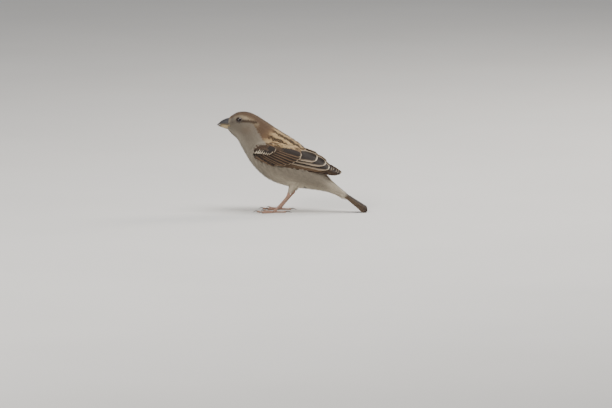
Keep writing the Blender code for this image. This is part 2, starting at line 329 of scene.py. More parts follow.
def make_piece(name, places, faces, colours, maps, finish, slot):
    """A dressed object from arrays: places in millimetres, triangles, a colour for each vertex, UV maps."""
    mesh = bpy.data.meshes.new(name)
    mesh.vertices.add(len(places))
    mesh.loops.add(faces.size)
    mesh.loops.foreach_set("vertex_index", faces.astype(np.int32).ravel())
    mesh.polygons.add(len(faces))
    mesh.polygons.foreach_set("loop_start", np.arange(0, faces.size, 3, dtype=np.int32))
    write(mesh, places)
    mesh.update(calc_edges=True)
    mesh.shade_smooth()
    for key, spots in maps.items():
        add_map(mesh, key, spots)
    piece = bpy.data.objects.new(name, mesh)
    bpy.context.scene.collection.objects.link(piece)
    return dress(piece, colours, finish, slot)


# ---- materials


def new_finish(name, roughness, **sockets):
    """A material with a Principled shader, whose even values are set on its own sockets."""
    made = bpy.data.materials.new(name)
    made.use_nodes = True
    shader = made.node_tree.nodes["Principled BSDF"]
    shader.inputs["Roughness"].default_value = roughness
    for key, value in sockets.items():
        shader.inputs[key.replace("_", " ")].default_value = value
    return made, made.node_tree, shader


def add_node(tree, kind, **values):
    """A shader node with its properties set, and its inputs set or linked."""
    node = tree.nodes.new(kind)
    for key, value in values.items():
        if key not in node.inputs:
            setattr(node, key, value)
        elif isinstance(value, bpy.types.NodeSocket):
            tree.links.new(value, node.inputs[key])
        else:
            node.inputs[key].default_value = value
    return node


def math_node(tree, operation, *values, kind="ShaderNodeMath", output=0):
    """The result of an operation on linked and plain values."""
    node = add_node(tree, kind, operation=operation)
    for socket, value in zip(node.inputs, values):
        if isinstance(value, bpy.types.NodeSocket):
            tree.links.new(value, socket)
        else:
            socket.default_value = value
    return node.outputs[output]


def shaded(tree, source, level, low, high):
    """A colour times low where the level is 0 and high where it is 1."""
    shade = add_node(tree, "ShaderNodeMapRange", Value=level, **{"To Min": low, "To Max": high})
    times = add_node(
        tree, "ShaderNodeVectorMath", operation="SCALE", Vector=source, Scale=shade.outputs["Result"]
    )
    return times.outputs["Vector"]


def mottled(tree, source, coordinates, scale, low, high):
    """A colour times a noise that runs from low to high, and the noise."""
    noise = add_node(tree, "ShaderNodeTexNoise", Scale=scale, Detail=3.0, Vector=coordinates)
    return shaded(tree, source, noise.outputs["Fac"], low, high), noise.outputs["Fac"]


def cover(tree, shader, colours, height, strength, depth):
    """The shader's colour, and a bump of this depth, in metres, from a height."""
    tree.links.new(colours, shader.inputs["Base Color"])
    bump = add_node(tree, "ShaderNodeBump", Strength=strength, Distance=depth, Height=height)
    tree.links.new(bump.outputs["Normal"], shader.inputs["Normal"])


def painted_on(tree):
    """The painted colour and the piece's own coordinates."""
    painted = add_node(tree, "ShaderNodeAttribute", attribute_name="markings")
    return painted.outputs["Color"], add_node(tree, "ShaderNodeTexCoord").outputs["Object"]


def painted_finish(name, roughness, grain, bump, broad=None, stretch=None, **sockets):
    """The painted colour under a fine grain and, where asked, a broad one.

    Each grain is its scale, its darkest and its lightest. The bump is its strength and its depth.
    """
    made, tree, shader = new_finish(name, roughness, **sockets)
    colours, own = painted_on(tree)
    if stretch:
        own = add_node(tree, "ShaderNodeMapping", Scale=stretch, Vector=own).outputs[0]
    colours, height = mottled(tree, colours, own, *grain)
    if broad:
        colours, _ = mottled(tree, colours, own, *broad)
    cover(tree, shader, colours, height, *bump)
    return made


def down_finish():
    """Soft body feathers, with the fine unevenness of loose barbs."""
    return painted_finish(
        "soft body feathers", 0.78, (2600.0, 0.86, 1.14), (0.35, 0.00012), broad=(320.0, 0.92, 1.08),
        Sheen_Weight=0.12, Sheen_Roughness=0.5, Specular_IOR_Level=0.25,
    )


def vane_finish():
    """Wing and tail feathers: the painted colour, ruled with slanting barbs, slightly glossy."""
    made, tree, shader = new_finish(
        "firm vanes", 0.66, Specular_IOR_Level=0.25, Sheen_Weight=0.05
    )
    painted, own = painted_on(tree)
    vane = add_node(tree, "ShaderNodeUVMap", uv_map="vane").outputs["UV"]
    across, along, _ = add_node(tree, "ShaderNodeSeparateXYZ", Vector=vane).outputs
    lag = math_node(tree, "MULTIPLY", math_node(tree, "ABSOLUTE", across), 1.3)
    slant = math_node(tree, "SUBTRACT", along, lag)
    ruled = math_node(tree, "SINE", math_node(tree, "MULTIPLY", slant, 24.0))
    level = math_node(tree, "ADD", math_node(tree, "MULTIPLY", ruled, 0.5), 0.5)
    barred = shaded(tree, painted, level, 0.9, 1.08)
    broad, _ = mottled(tree, barred, own, 500.0, 0.9, 1.1)
    cover(tree, shader, broad, level, 0.3, 0.00006)
    return made


# ---- the surface the feathers lie on


CROWDING = 14.0  # candidates tried for each four spacings squared, before the crowded ones go


class Surface:
    """A mesh to lay feathers on. Places are in millimetres."""

    def __init__(self, mesh):
        self.places = read(mesh)
        self.normals = read(mesh, "normal")
        self.faces = triangles_of(mesh)
        self.tree = tree_of(self.places, self.faces)

    def lay(self, points):
        """The nearest place on the surface to each point, and the smooth normal there."""
        found = [self.tree.find_nearest(p) for p in points.tolist()]
        places = np.array([f[0][:] for f in found])
        corners = self.faces[[f[2] for f in found]]
        a, b, c = (self.places[corners[:, i]] for i in range(3))
        sides = ((b, c), (c, a), (a, b))
        areas = [np.linalg.norm(np.cross(p - places, q - places), axis=1) for p, q in sides]
        weights = np.stack(areas, 1) + 1e-9
        weights /= weights.sum(1, keepdims=True)
        return places, self.slopes(corners, weights)

    def slopes(self, corners, weights):
        """The smooth normals at places given by their triangles' corners and the weight of each corner."""
        return unit(sum(self.normals[corners[:, i]] * weights[:, i : i + 1] for i in range(3)))

    def scatter(self, spacing, wanted, seed):
        """Evenly spread places and normals where wanted() is true, no two nearer than spacing(places)."""
        rng = np.random.default_rng(seed)
        a, b, c = (self.places[self.faces[:, i]] for i in range(3))
        area = 0.5 * np.linalg.norm(np.cross(b - a, c - a), axis=1)
        middles = (a + b + c) / 3
        normal = unit(sum(self.normals[self.faces[:, i]] for i in range(3)))
        gaps = spacing(middles)
        chance = np.where(wanted(middles, normal), area * CROWDING / (gaps**2), 0)
        counts = rng.poisson(chance / 4.0)
        pick = np.repeat(np.arange(len(area)), counts)
        rng.shuffle(pick)
        p, q = rng.random(len(pick)), rng.random(len(pick))
        flip = p + q > 1
        p[flip], q[flip] = 1 - p[flip], 1 - q[flip]
        places = a[pick] + (b[pick] - a[pick]) * p[:, None] + (c[pick] - a[pick]) * q[:, None]
        normals = self.slopes(self.faces[pick], np.stack([1 - p - q, p, q], 1))
        gaps = gaps[pick]
        tree = kdtree.KDTree(len(places))
        for i, place in enumerate(places.tolist()):
            tree.insert(place, i)
        tree.balance()
        open_place = np.ones(len(places), bool)
        kept = []
        for i, (place, gap) in enumerate(zip(places.tolist(), gaps.tolist())):
            if open_place[i]:
                kept.append(i)
                for _, j, _ in tree.find_range(place, gap):
                    open_place[j] = False
        return places[kept], normals[kept]


OUTSIDE = 60  # far enough from the middle line to be clear of the body


class BodyLine:
    """The bird's middle line, which says how far back and how high on the body a place is."""

    def __init__(self, surface):
        knots = np.array(SPINE)
        along = np.concatenate([[0], np.cumsum(np.hypot(*np.diff(knots, axis=0).T))])
        self.length = along[-1]
        self.s = np.arange(0, self.length, 1.0)
        self.y = self.smooth(np.interp(self.s, along, knots[:, 0]))
        self.z = self.smooth(np.interp(self.s, along, knots[:, 1]))
        dy, dz = np.gradient(self.y), np.gradient(self.z)
        size = np.hypot(dy, dz)
        self.ty, self.tz = dy / size, dz / size
        self.top, self.bottom = [], []
        for y, z, ty, tz in zip(self.y, self.z, self.ty, self.tz):
            for sign, reach in ((1, self.top), (-1, self.bottom)):
                way = Vector((0, -tz * sign, ty * sign))
                hit = surface.tree.ray_cast(Vector((0, y, z)) + way * OUTSIDE, -way, OUTSIDE)
                reach.append(OUTSIDE - hit[3] if hit[3] else 1.0)
        self.top, self.bottom = np.maximum(self.top, 0.5), np.maximum(self.bottom, 0.5)

    @staticmethod
    def smooth(values):
        """The mean of each value and the three on either side."""
        padded = np.pad(values, 3, mode="reflect", reflect_type="odd")
        return np.convolve(padded, np.ones(7) / 7, mode="valid")

    def place(self, points):
        """How far along the line each point is, how high (-1 belly, 1 back), and the way aft."""
        gap = (points[:, 1:2] - self.y) ** 2 + (points[:, 2:3] - self.z) ** 2
        i = gap.argmin(1)
        up = -(points[:, 1] - self.y[i]) * self.tz[i] + (points[:, 2] - self.z[i]) * self.ty[i]
        rise = np.where(up > 0, up / self.top[i], up / self.bottom[i])
        aft = np.stack([np.zeros(len(i)), self.ty[i], self.tz[i]], 1)
        return self.s[i], np.clip(rise, -1.2, 1.2), aft


# ---- where feathers lie, and their colours


def eye_of(side):
    """An eyeball's centre and radius."""
    low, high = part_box("eye_" + side)
    centre = np.array((low + high) / 2) / MM
    return centre, (high - low).z / 2 / MM


def thigh_box():
    """The lowest and highest corners that hold both thighs' left-hand halves, in millimetres."""
    low, high = box_of("thigh_left")
    other = box_of("thigh_right")[1][1]
    return low, np.array([high[0], max(high[1], other), high[2]])


def behind_bill(points):
    """How far behind the bill's base each place is."""
    lower, upper = box_of("bill_lower"), box_of("bill_upper")
    base = np.interp(points[:, 2], (lower[0][2], upper[1][2]), (lower[1][1], upper[1][1]))
    return points[:, 1] - base


GAPE_HEIGHT = 72.1  # of the gape's corner at the bill's base
GAPE_REACH = 2.8  # how far the corner runs back into the face


def gape_corner(points):
    """How far each place belongs to the corner of the gape, which narrows to a point in the face."""
    behind = behind_bill(points)
    half = np.interp(behind, (0.0, GAPE_REACH), (1.0, 0.35))
    off = np.abs(points[:, 2] - GAPE_HEIGHT + 0.2 * behind) / half
    return step(1.0, 0.5, off) * step(2.9, 1.7, behind)


def lie(points, normals):
    """The way each feather points: aft, down the thighs, forward by the bill and parted round the eyes."""
    made = forms()
    x, y, z = points.T
    side = np.abs(x)
    _, _, way = made.line.place(points)

    # Down the thighs.
    low, high = thigh_box()
    inside = (y > low[1] - 2.5) & (y < high[1] + 2.0) & (side > 3.5)
    share = (inside * step(high[2] - 1.0, high[2] - 6.0, z))[:, None]
    way = way * (1 - share) + np.array([0, -0.35, -0.94]) * share
    way = unit(way - dots(way, normals) * normals)

    # Forward over the sides of the upper bill's base.
    turn = math.pi * step(2.2, 0.9, behind_bill(points)) * step(73.1, 74.6, z) * step(0.6, 1.8, side)
    turn = (turn * np.sign(x))[:, None]
    way = way * np.cos(turn) + np.cross(normals, way) * np.sin(turn)

    # Round the eyes.
    away, out = made.from_eye(points)
    near = step(4.8, 2.4, away)[:, None]
    around = np.cross(normals, out)
    around *= np.where(dots(around, way) < 0, -1, 1)
    way = way - near * np.minimum(dots(way, out), 0) * out + near * (0.45 * around + 0.1 * out)
    return unit(way - dots(way, normals) * normals)


# Along the middle line, from the bill's base: the length of the feathers, and the coat's share of its depth.
LENGTHS = (
    (0, 1.1), (3, 1.3), (8, 1.9), (16, 2.7), (26, 3.8), (40, 5.4), (60, 6.8), (90, 7.4), (110, 8.5),
    (125, 9.0),
)
DEPTHS = ((0, 0.15), (4, 0.25), (12, 0.4), (28, 0.7), (45, 1), (95, 1), (108, 0.5), (125, 0.2))
LENGTHS_BY_EYE = ((2.0, 0.8), (3.2, 1.1), (6.0, 2.2), (9.0, 9.0))  # out from the eye's axis


def feather_length(points):
    """How long the feather rooted at each place is."""
    made = forms()
    s, _, _ = made.line.place(points)
    size = read_off(LENGTHS, s)
    x, y, z = points.T
    low, high = thigh_box()
    thigh = (y > low[1] - 1.5) & (y < high[1] + 1.5) & (np.abs(x) > 4) & (z < high[2])
    size = np.where(thigh, np.minimum(size, np.interp(z, (low[2], high[2]), (1.5, 4.5))), size)
    away, _ = made.from_eye(points)
    return np.minimum(size, read_off(LENGTHS_BY_EYE, away)) * sizes().feather


def coat_depth(points):
    """How far the skin lies under the tips of the feathers."""
    s, _, _ = forms().line.place(points)
    depth = sizes().coat * read_off(DEPTHS, s)
    x, y, z = points.T
    low, high = thigh_box()
    leg = (z < high[2]) & (y < high[1] + 1) & (np.abs(x) > 4)
    return np.where(leg, np.minimum(depth, np.interp(z, (low[2], high[2]), (0.2, 0.9))), depth)


LORE, EAR = (-49.5, 75.2), (-37.5, 69.1)  # the dark spots before the eye and behind it, (y, z)
LANE_WIDTH = 4.8  # from one dark line along the back to the next


def markings(points, paints, on_wing):
    """The plumage at each place: its colour, then colour and strength of a shaft streak and of a tip."""
    x, y, z = points.T
    s, rise, _ = forms().line.place(points)
    ripple = 0.5 * np.sin(y * 1.7 + x * 0.9) + 0.5 * np.sin(z * 1.3 - y * 0.7 + 1.0)
    on_head = step(34, 24, s)

    # The brown of the crown, back and rump above, and the pale face, breast and belly below.
    brown = step(-0.9, 0.9, z - read_off(BROWN_EDGE, y) + 0.35 * ripple)
    upper = mix(paints["crown"] + 0 * points, paints["back"], step(27, 42, s))
    upper = mix(upper, paints["rump"], step(74, 90, s))
    under = mix(paints["cheek"] + 0 * points, paints["breast"], step(22, 36, s))
    under = mix(under, paints["throat"], step(-0.15, -0.8, rise) * step(44, 30, s))
    under = mix(under, paints["belly"], step(-0.35, -0.95, rise) * step(48, 70, s))
    under = mix(under, paints["belly"], step(92, 106, s) * 0.8)
    base = mix(under, upper, brown)

    # The head's stripes and spots.
    brow = np.exp(-((near_line(BROW_LINE, y, z) / 1.5) ** 2))
    base = mix(base, paints["brow"], 0.75 * brow * on_head * np.interp(y, (-48, -42), (0.35, 1)))
    base = mix(base, paints["eye_line"], 0.9 * np.exp(-((near_line(EYE_LINE, y, z) / 1.2) ** 4)))
    lore = np.exp(-((y - LORE[0]) ** 2 / 5 + (z - LORE[1]) ** 2 / 2.2))
    ear = np.exp(-((y - EAR[0]) ** 2 / 22 + (z - EAR[1]) ** 2 / 14))
    base = mix(base, paints["eye_line"], 0.35 * lore)
    base = mix(base, paints["crown"], 0.35 * ear * on_head)

    # The back's lines, and the streaks down each feather's shaft.
    lane = 0.5 + 0.5 * np.cos((np.abs(x) - 1.6 + 0.3 * ripple) * math.tau / LANE_WIDTH)
    mantle = brown * step(30, 38, s) * step(88, 76, s)
    base = mix(base, paints["back_pale"], 0.75 * mantle * (1 - lane))
    flank = (1 - brown) * step(48, 62, s) * np.exp(-((rise + 0.1) ** 2) / 0.12)
    streak = np.maximum(mantle * step(0.4, 0.72, lane), 0.16 * flank)
    streak = np.maximum(streak, 0.3 * brown * on_head)
    streak = np.maximum(streak, 0.28 * step(98, 112, s))
    tip = np.maximum(0.5 * mantle * (1 - lane), 0.12)

    # The plain brown shoulder of the folded wing.
    wing_top = forms().wing.top(y)
    lesser = on_wing * step(wing_top - 0.2, wing_top - 1.8, z)
    lesser = lesser * step(-31.4, -30.0, y + 0.5 * ripple)
    base = mix(base, paints["shoulder"], lesser)
    streak = mix(streak[:, None], np.array([0.55]), lesser)[:, 0]
    streak_colour = paints["back_streak"] + 0 * base
    return base, streak_colour, streak, mix(base, paints["back_pale"], 0.6 * mantle), tip


# ---- soft feathers


CENTRES = 5  # places along a soft feather's middle that are laid on the surface
SPLIT = 0.34  # how far along a soft feather its barbs part
ROUND_TIP = 0.42  # how much shorter its outer barbs are
LIFT = 0.06  # how proud its tip stands
BASE, BARB, END = 0, 1, 2  # the kinds of a tuft's vertices: the joined base, a barb's sides, its end


def tuft_pattern(cells):
    """One soft feather: a joined base whose outer part splits into barbs.

    Gives each vertex's place along and across, its kind and its barb, and the triangles.
    """
    across = np.linspace(-1, 1, cells + 1)
    s = list(np.repeat((0, SPLIT), cells + 1))
    u = list(np.tile(across, 2))
    kind, barb, faces = [BASE] * len(s), [0] * len(s), []
    row = cells + 1
    for c in range(cells):
        faces += [(c, c + 1, row + c + 1), (c, row + c + 1, row + c)]
    reach = 0.4 * (across[1] - across[0])
    for c in range(cells):
        middle, k = (across[c] + across[c + 1]) / 2, len(s)
        s += [0, 0, 0]
        u += [middle - reach, middle + reach, middle]
        kind += [BARB, BARB, END]
        barb += [c, c, c]
        faces += [(row + c, row + c + 1, k + 1), (row + c, k + 1, k), (k, k + 1, k + 2)]
    return np.array(s), np.array(u), np.array(kind), np.array(barb), np.array(faces)


def laid_middles(roots, normals, ways, lengths):
    """Places along each feather's middle, walked over the surface from its root, and the normals there."""
    middles, outs = [roots], [normals]
    place, way = roots, ways
    for _ in range(CENTRES - 1):
        ahead = place + way * (lengths / (CENTRES - 1))[:, None]
        ahead, out = forms().surface.lay(ahead)
        way = unit(ahead - place)
        way = unit(way - dots(way, out) * out)
        place = ahead
        middles.append(place)
        outs.append(out)
    return np.stack(middles, 1), np.stack(outs, 1)


def soft_feathers(name, tufts, finish, seed, cells):
    """A piece of coat: one tuft on each root, laid along the surface, its tip a little proud."""
    roots, normals, ways, lengths, widths, depths, spots, *looks = tufts
    rng = np.random.default_rng(seed)
    count = len(roots)
    middles, outs = laid_middles(roots, normals, ways, lengths)
    sideways = unit(np.cross(np.gradient(middles, axis=1), outs))

    # Where each vertex is on its feather, with barbs of uneven length that stray to the sides.
    s0, u0, kind, barb, faces = tuft_pattern(cells)
    barb_u = (np.arange(cells) + 0.5) / cells * 2 - 1
    tips = 1 - ROUND_TIP * barb_u**2 + rng.normal(0, 0.1, (count, cells))
    shade = 1 + rng.normal(0, 0.07, (count, cells))
    raise_tip = rng.normal(0, 0.035, (count, cells))
    stray = rng.normal(0, 0.55 / cells, (count, cells))
    s = np.repeat(s0[None], count, 0)
    s = np.where(kind == BARB, SPLIT + (tips[:, barb] - SPLIT) * 0.58, s)
    s = np.where(kind == END, tips[:, barb], s)
    u = u0 + np.where(kind == END, stray[:, barb], 0) + np.where(kind == BARB, stray[:, barb] * 0.3, 0)
    reading = np.clip(s, 0, 1) * (CENTRES - 1)
    low = np.minimum(reading.astype(int), CENTRES - 2)
    part = (reading - low)[..., None]
    pick = np.arange(count)[:, None]

    def read_along(values):
        """Values between the middle's places, at each vertex."""
        return values[pick, low] * (1 - part) + values[pick, low + 1] * part

    # Sunk at the root, bowed across, and lifted at the tip.
    half = widths[:, None] * 0.5 * np.interp(s, (0, 0.25, 0.6, 1), (0.4, 0.9, 1, 0.8))
    curve = np.interp(lengths, (1, 4, 8), (6.0, 12.0, 17.0))[:, None]
    sunk = -depths[:, None] * np.maximum(1 - s, 0) ** 1.15
    height = sunk + LIFT * s**2 - (u * half) ** 2 / (2 * curve)
    height += np.where(kind == END, raise_tip[:, barb], 0) * widths[:, None] * 0.35
    places = read_along(middles) + read_along(sideways) * (u * half)[..., None]
    places = places + read_along(outs) * height[..., None]

    # A streak down the shaft, another colour at the tip, and each barb a little lighter or darker.
    base, streak_colour, streak, tip_colour, tip = looks
    shaft = step(0.85, 0.45, np.abs(u)) * step(0.0, 0.25, s) * (1 - 0.35 * step(0.85, 1.0, s))
    colours = base[:, None] * np.ones((1, len(s0), 1))
    colours = mix(colours, streak_colour[:, None], streak[:, None] * shaft)
    colours = mix(colours, tip_colour[:, None], tip[:, None] * step(0.62, 0.9, s + 0.12 * u * u))
    tint = np.where(kind > BASE, shade[:, barb], 1.0) * (1 + rng.normal(0, 0.035, (count, 1)))
    # Painted shade: each tuft runs from darker at its root, where the feathers over it shade it, to a little
    # lighter at its tip.
    colours = colours * (tint * np.interp(s, (0, 0.5, 1), (0.85, 0.96, 1.02)))[..., None]
    faces = (faces[None] + (np.arange(count) * len(s0))[:, None, None]).reshape(-1, 3)
    bake = spots[:, None] + 0.003 * np.stack([u * 0.5, s - 0.5], -1)
    return make_piece(
        name, places.reshape(-1, 3), faces, colours.reshape(-1, 3), {"OFBake": bake.reshape(-1, 2)},
        finish, "plumage",
    )


def unwrap(points):
    """A place's spot on the body's unwrap: round the middle line, and along it."""
    line = forms().line
    s, _, aft = line.place(points)
    i = np.clip(s.astype(int), 0, len(line.s) - 1)
    up = -(points[:, 1] - line.y[i]) * aft[:, 2] + (points[:, 2] - line.z[i]) * aft[:, 1]
    around = np.arctan2(up, points[:, 0]) / math.tau
    return np.stack([(around + 0.25) % 1.0, 0.02 + 0.96 * s / line.length], 1)


# ---- the folded wing


SPREADS = 14  # times that the wing's face grows by one cell past its rim


def beside(grid, **padding):
    """The four neighbours of each of a grid's cells."""
    padded = np.pad(grid, 1, **padding)
    return padded[2:, 1:-1], padded[:-2, 1:-1], padded[1:-1, 2:], padded[1:-1, :-2]


class WingFace:
    """The outer face of the folded left wing, as its distance from the middle plane at (y, z)."""

    CELL = 0.75

    def __init__(self):
        low, high = box_of("wing_left")
        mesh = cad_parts["wing_left"].data
        tree = tree_of(read(mesh), triangles_of(mesh))
        self.y = np.arange(low[1] - 6, high[1] + 8, self.CELL)
        self.z = np.arange(low[2] - 6, high[2] + 6, self.CELL)
        grid = np.full((len(self.y), len(self.z)), np.nan)
        for i, y in enumerate(self.y):
            for j, z in enumerate(self.z):
                hit = tree.ray_cast(Vector((99, y, z)), Vector((-1, 0, 0)))[0]
                if hit:
                    grid[i, j] = hit.x
        inside = ~np.isnan(grid)
        rows = [(y, self.z[row]) for y, row in zip(self.y, inside) if row.any()]
        self.edges = np.array([(y, heights.min(), heights.max()) for y, heights in rows])
        for _ in range(SPREADS):
            grid = self.spread(grid)
        grid = np.nan_to_num(grid, nan=np.nanmin(grid))
        for _ in range(2):
            grid = sum(beside(grid, mode="edge"), grid * 4) / 8
        self.grid = grid

    @staticmethod
    def spread(grid):
        """Fills the empty cells beside filled ones with their neighbours' mean."""
        around = beside(grid, constant_values=np.nan)
        known = np.stack([~np.isnan(a) for a in around])
        total = np.nansum(np.stack(around), 0)
        mean = total / np.maximum(known.sum(0), 1)
        return np.where(np.isnan(grid) & known.any(0), mean, grid)

    def x(self, y, z):
        """The face's distance out at each (y, z)."""
        i = np.clip((y - self.y[0]) / self.CELL, 0, len(self.y) - 1.001)
        j = np.clip((z - self.z[0]) / self.CELL, 0, len(self.z) - 1.001)
        a, b = i.astype(int), j.astype(int)
        p, q = i - a, j - b
        g = self.grid
        lower = g[a, b] * (1 - p) * (1 - q) + g[a + 1, b] * p * (1 - q)
        return lower + g[a, b + 1] * (1 - p) * q + g[a + 1, b + 1] * p * q

    def top(self, y):
        """The height of the wing's upper edge at y."""
        return np.interp(y, self.edges[:, 0], self.edges[:, 2])

    def bottom(self, y):
        """The height of the wing's lower edge at y."""
        return np.interp(y, self.edges[:, 0], self.edges[:, 1])


class Solids:
    """Tells which of the frame's solids a place is nearest to."""

    def __init__(self):
        places, faces, self.owner, count = [], [], [], 0
        for name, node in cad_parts.items():
            found = triangles_of(node.data)
            places.append(read(node.data))
            faces.append(found + count)
            self.owner += [name.removesuffix("_left").removesuffix("_right")] * len(found)
            count += len(places[-1])
        self.owner = np.array(self.owner)
        self.tree = tree_of(np.concatenate(places), np.concatenate(faces))

    def nearest(self, points):
        """The nearest solid's name, without its side, for each point."""
        return self.owner[[self.tree.find_nearest(p)[2] for p in points.tolist()]]


# The grid of a vane's vertices: along it, 0 at its root, and across it, closest at the shaft and the rims.
VANE_S = np.concatenate([np.linspace(0, 0.78, 11), [0.85, 0.9, 0.94, 0.97, 0.99, 1.0]])
VANE_U = np.array([-1, -0.93, -0.8, -0.55, -0.25, -0.07, 0, 0.07, 0.25, 0.55, 0.8, 0.93, 1])
VANE_GRID = np.meshgrid(VANE_S, VANE_U, indexing="ij")


def vane_faces():
    """Triangles of a closed vane whose upper and under sides share their rim."""
    rows, columns = len(VANE_S), len(VANE_U)
    top = np.arange(rows * columns).reshape(rows, columns)
    under = top.copy()
    inner = (rows - 2) * (columns - 2)
    under[1:-1, 1:-1] = rows * columns + np.arange(inner).reshape(rows - 2, columns - 2)
    faces = []
    for r in range(rows - 1):
        for c in range(columns - 1):
            for layer in (top, under):
                a, b, d, e = layer[r, c], layer[r, c + 1], layer[r + 1, c + 1], layer[r + 1, c]
                faces += [(a, b, d), (a, d, e)] if layer is top else [(a, d, b), (a, e, d)]
    return np.array(faces)


def vane_outline(s, blunt):
    """A vane's half width along it, 1 at its widest: quick to widen, then rounded off at the tip."""
    root = np.interp(s, (0, 0.18, 0.5), (0.35, 0.85, 1.0))
    tip = np.sqrt(np.clip(1 - (np.clip(s - blunt, 0, 1) / (1 - blunt)) ** 2, 0, 1))
    return root * np.maximum(tip, 0.03)


def both_layers(top, under):
    """Values for the vertices of a closed vane: the top grid's, then the under side's inside the rim."""
    return np.concatenate([layer.reshape(-1, *top.shape[2:]) for layer in (top, under[1:-1, 1:-1])])


def close_vane(top, outward, thickness):
    """The vertices of a closed vane, thickest along its shaft and thin at its tip."""
    s, u = VANE_GRID
    depth = thickness * (0.45 + 0.55 * np.exp(-((u / 0.12) ** 2))) * np.minimum(1, (1 - s) * 12 + 0.25)
    return both_layers(top, top - outward * depth[..., None])


def vane_look(rng, size, half, core, edge, tip, rim, tip_length, edge_sides=(1, 1), shaft=0.5, wrap=0.55):
    """Colours over a vane: a dark core, paler margins as wide as rim, a pale tip and a dark shaft."""
    s, u = VANE_GRID
    margin = (1 - np.abs(u)) * half
    wide = rim * np.where(u < 0, edge_sides[0], edge_sides[1])
    wide = wide * (1 + 0.15 * np.sin(9 * s + rng.uniform(0, 6)) + 0.2 * s)
    to_edge = step(1.25, 0.35, margin / np.maximum(wide, 1e-3)) * (wide > 0)
    to_end = step(1.3, 0.4, (1 - s) * size / max(rim, 1e-3))
    colours = mix(core * np.ones(s.shape + (1,)), edge, np.maximum(to_edge, to_end))
    if tip_length:
        from_tip = (1 - s) * size / tip_length + wrap * (0.55 - np.abs(u))
        colours = mix(colours, tip, step(1.25, 0.5, from_tip))
    colours = mix(colours, core * 0.5, shaft * np.exp(-((u / 0.05) ** 2)) * (s < 0.97))
    return colours * (1 + rng.normal(0, 0.04))


class VaneSet:
    """Gathers vanes into one mesh. Each gets its own cell of the bake map."""

    def __init__(self):
        self.places, self.faces, self.colours, self.vane = [], [], [], []
        self.pattern = vane_faces()

    def add(self, top, outward, colours, size, half):
        """One more vane, from its top grid and its colours."""
        s, u = VANE_GRID
        self.faces.append(self.pattern + sum(len(p) for p in self.places))
        self.places.append(close_vane(top, outward, sizes().vane))
        self.colours.append(both_layers(colours, colours))
        ruler = np.stack([u * half, s * size], -1)
        self.vane.append(both_layers(ruler, ruler))

    def maps(self):
        """The vane map in millimetres, and a bake map with a cell for each vane."""
        columns = max(4, math.ceil(math.sqrt(len(self.vane)) * 1.6))
        rows = math.ceil(len(self.vane) / columns)
        cells = []
        for k, vane in enumerate(self.vane):
            low, high = vane.min(0), vane.max(0)
            spot = (vane - low) / (high - low) * 0.9 + 0.05
            cells.append((spot + (k % columns, k // columns)) / (columns, rows))
        return {"vane": np.concatenate(self.vane), "OFBake": np.concatenate(cells)}

    def piece(self, name, finish, mirror=False):
        """The vanes as one piece, on the other side of the bird where asked."""
        places, faces = np.concatenate(self.places), np.concatenate(self.faces)
        if mirror:
            places = places * (-1, 1, 1)
            faces = faces[:, ::-1]
        colours = np.concatenate(self.colours)
        return make_piece(name, places, faces, colours, self.maps(), finish, "flight_feathers")


ROLL = 0.12  # how far a wing feather's upper edge dips under its neighbour


def wing_vane(face, root, tip, half, bow, layer, wave, blunt, tuck=0.35, lead=0.5):
    """The top grid of one feather on the wing's face. u = -1 is its upper edge, +1 its lower one."""
    s, u = VANE_GRID
    root, tip = np.array(root, float), np.array(tip, float)
    chord = tip - root
    across = np.array([chord[1], -chord[0]]) / np.linalg.norm(chord)
    across = across if across[1] < 0 else -across
    middle = root + chord * s[..., None] + across * (-bow * 4 * s * (1 - s))[..., None]
    uneven = 1 + 0.025 * np.sin(17 * s + wave) + 0.02 * np.sin(41 * s + 2 * wave)
    reach = half * vane_outline(s, blunt) * uneven
    share = np.where(u < 0, 2 * lead, 2 * (1 - lead))
    spot = middle + across * (u * reach * share)[..., None]
    y, z = spot[..., 0], spot[..., 1]
    x = face.x(y, z) + layer - tuck * (1 - s) ** 2 + ROLL * 0.5 * (u - 1) * (half / 4) - 0.05 * u * u
    x = x + 0.03 * np.exp(-((u / 0.06) ** 2))
    return np.stack([x, y, z], -1)


def between(first, last, count):
    """Evenly spaced points from first to last."""
    first, last = np.array(first, float), np.array(last, float)
    return [first + (last - first) * k / (count - 1) for k in range(count)]


# Tips of the wing's feathers in side view, (y, z), in the order in which they are laid.
PRIMARY_TIPS = (
    (33.4, 36.6), (35.4, 35.9), (37.4, 35.0), (39.3, 34.0), (41.0, 32.9), (40.4, 32.2), (38.2, 32.1),
)
GREATER_TIPS = (
    (-10.5, 41.2), (-6.9, 41.5), (-3.3, 41.9), (0.2, 42.5), (3.4, 43.4), (6.2, 44.8), (8.4, 46.4),
    (9.4, 48.6),
)
PRIMARY_COVERT_TIPS = ((-13.0, 40.3), (-16.0, 41.4), (-19.0, 43.0), (-22.4, 44.8))
# Each tertial's root and tip in side view, half its width and how far it bows.
TERTIALS = (
    ((-4, 45.8), (31.4, 37.5), 3.9, 1.0), ((-3, 48.4), (28.3, 41), 4.1, 0.8),
    ((-2, 50.8), (21.6, 45.2), 4.0, 0.5),
)


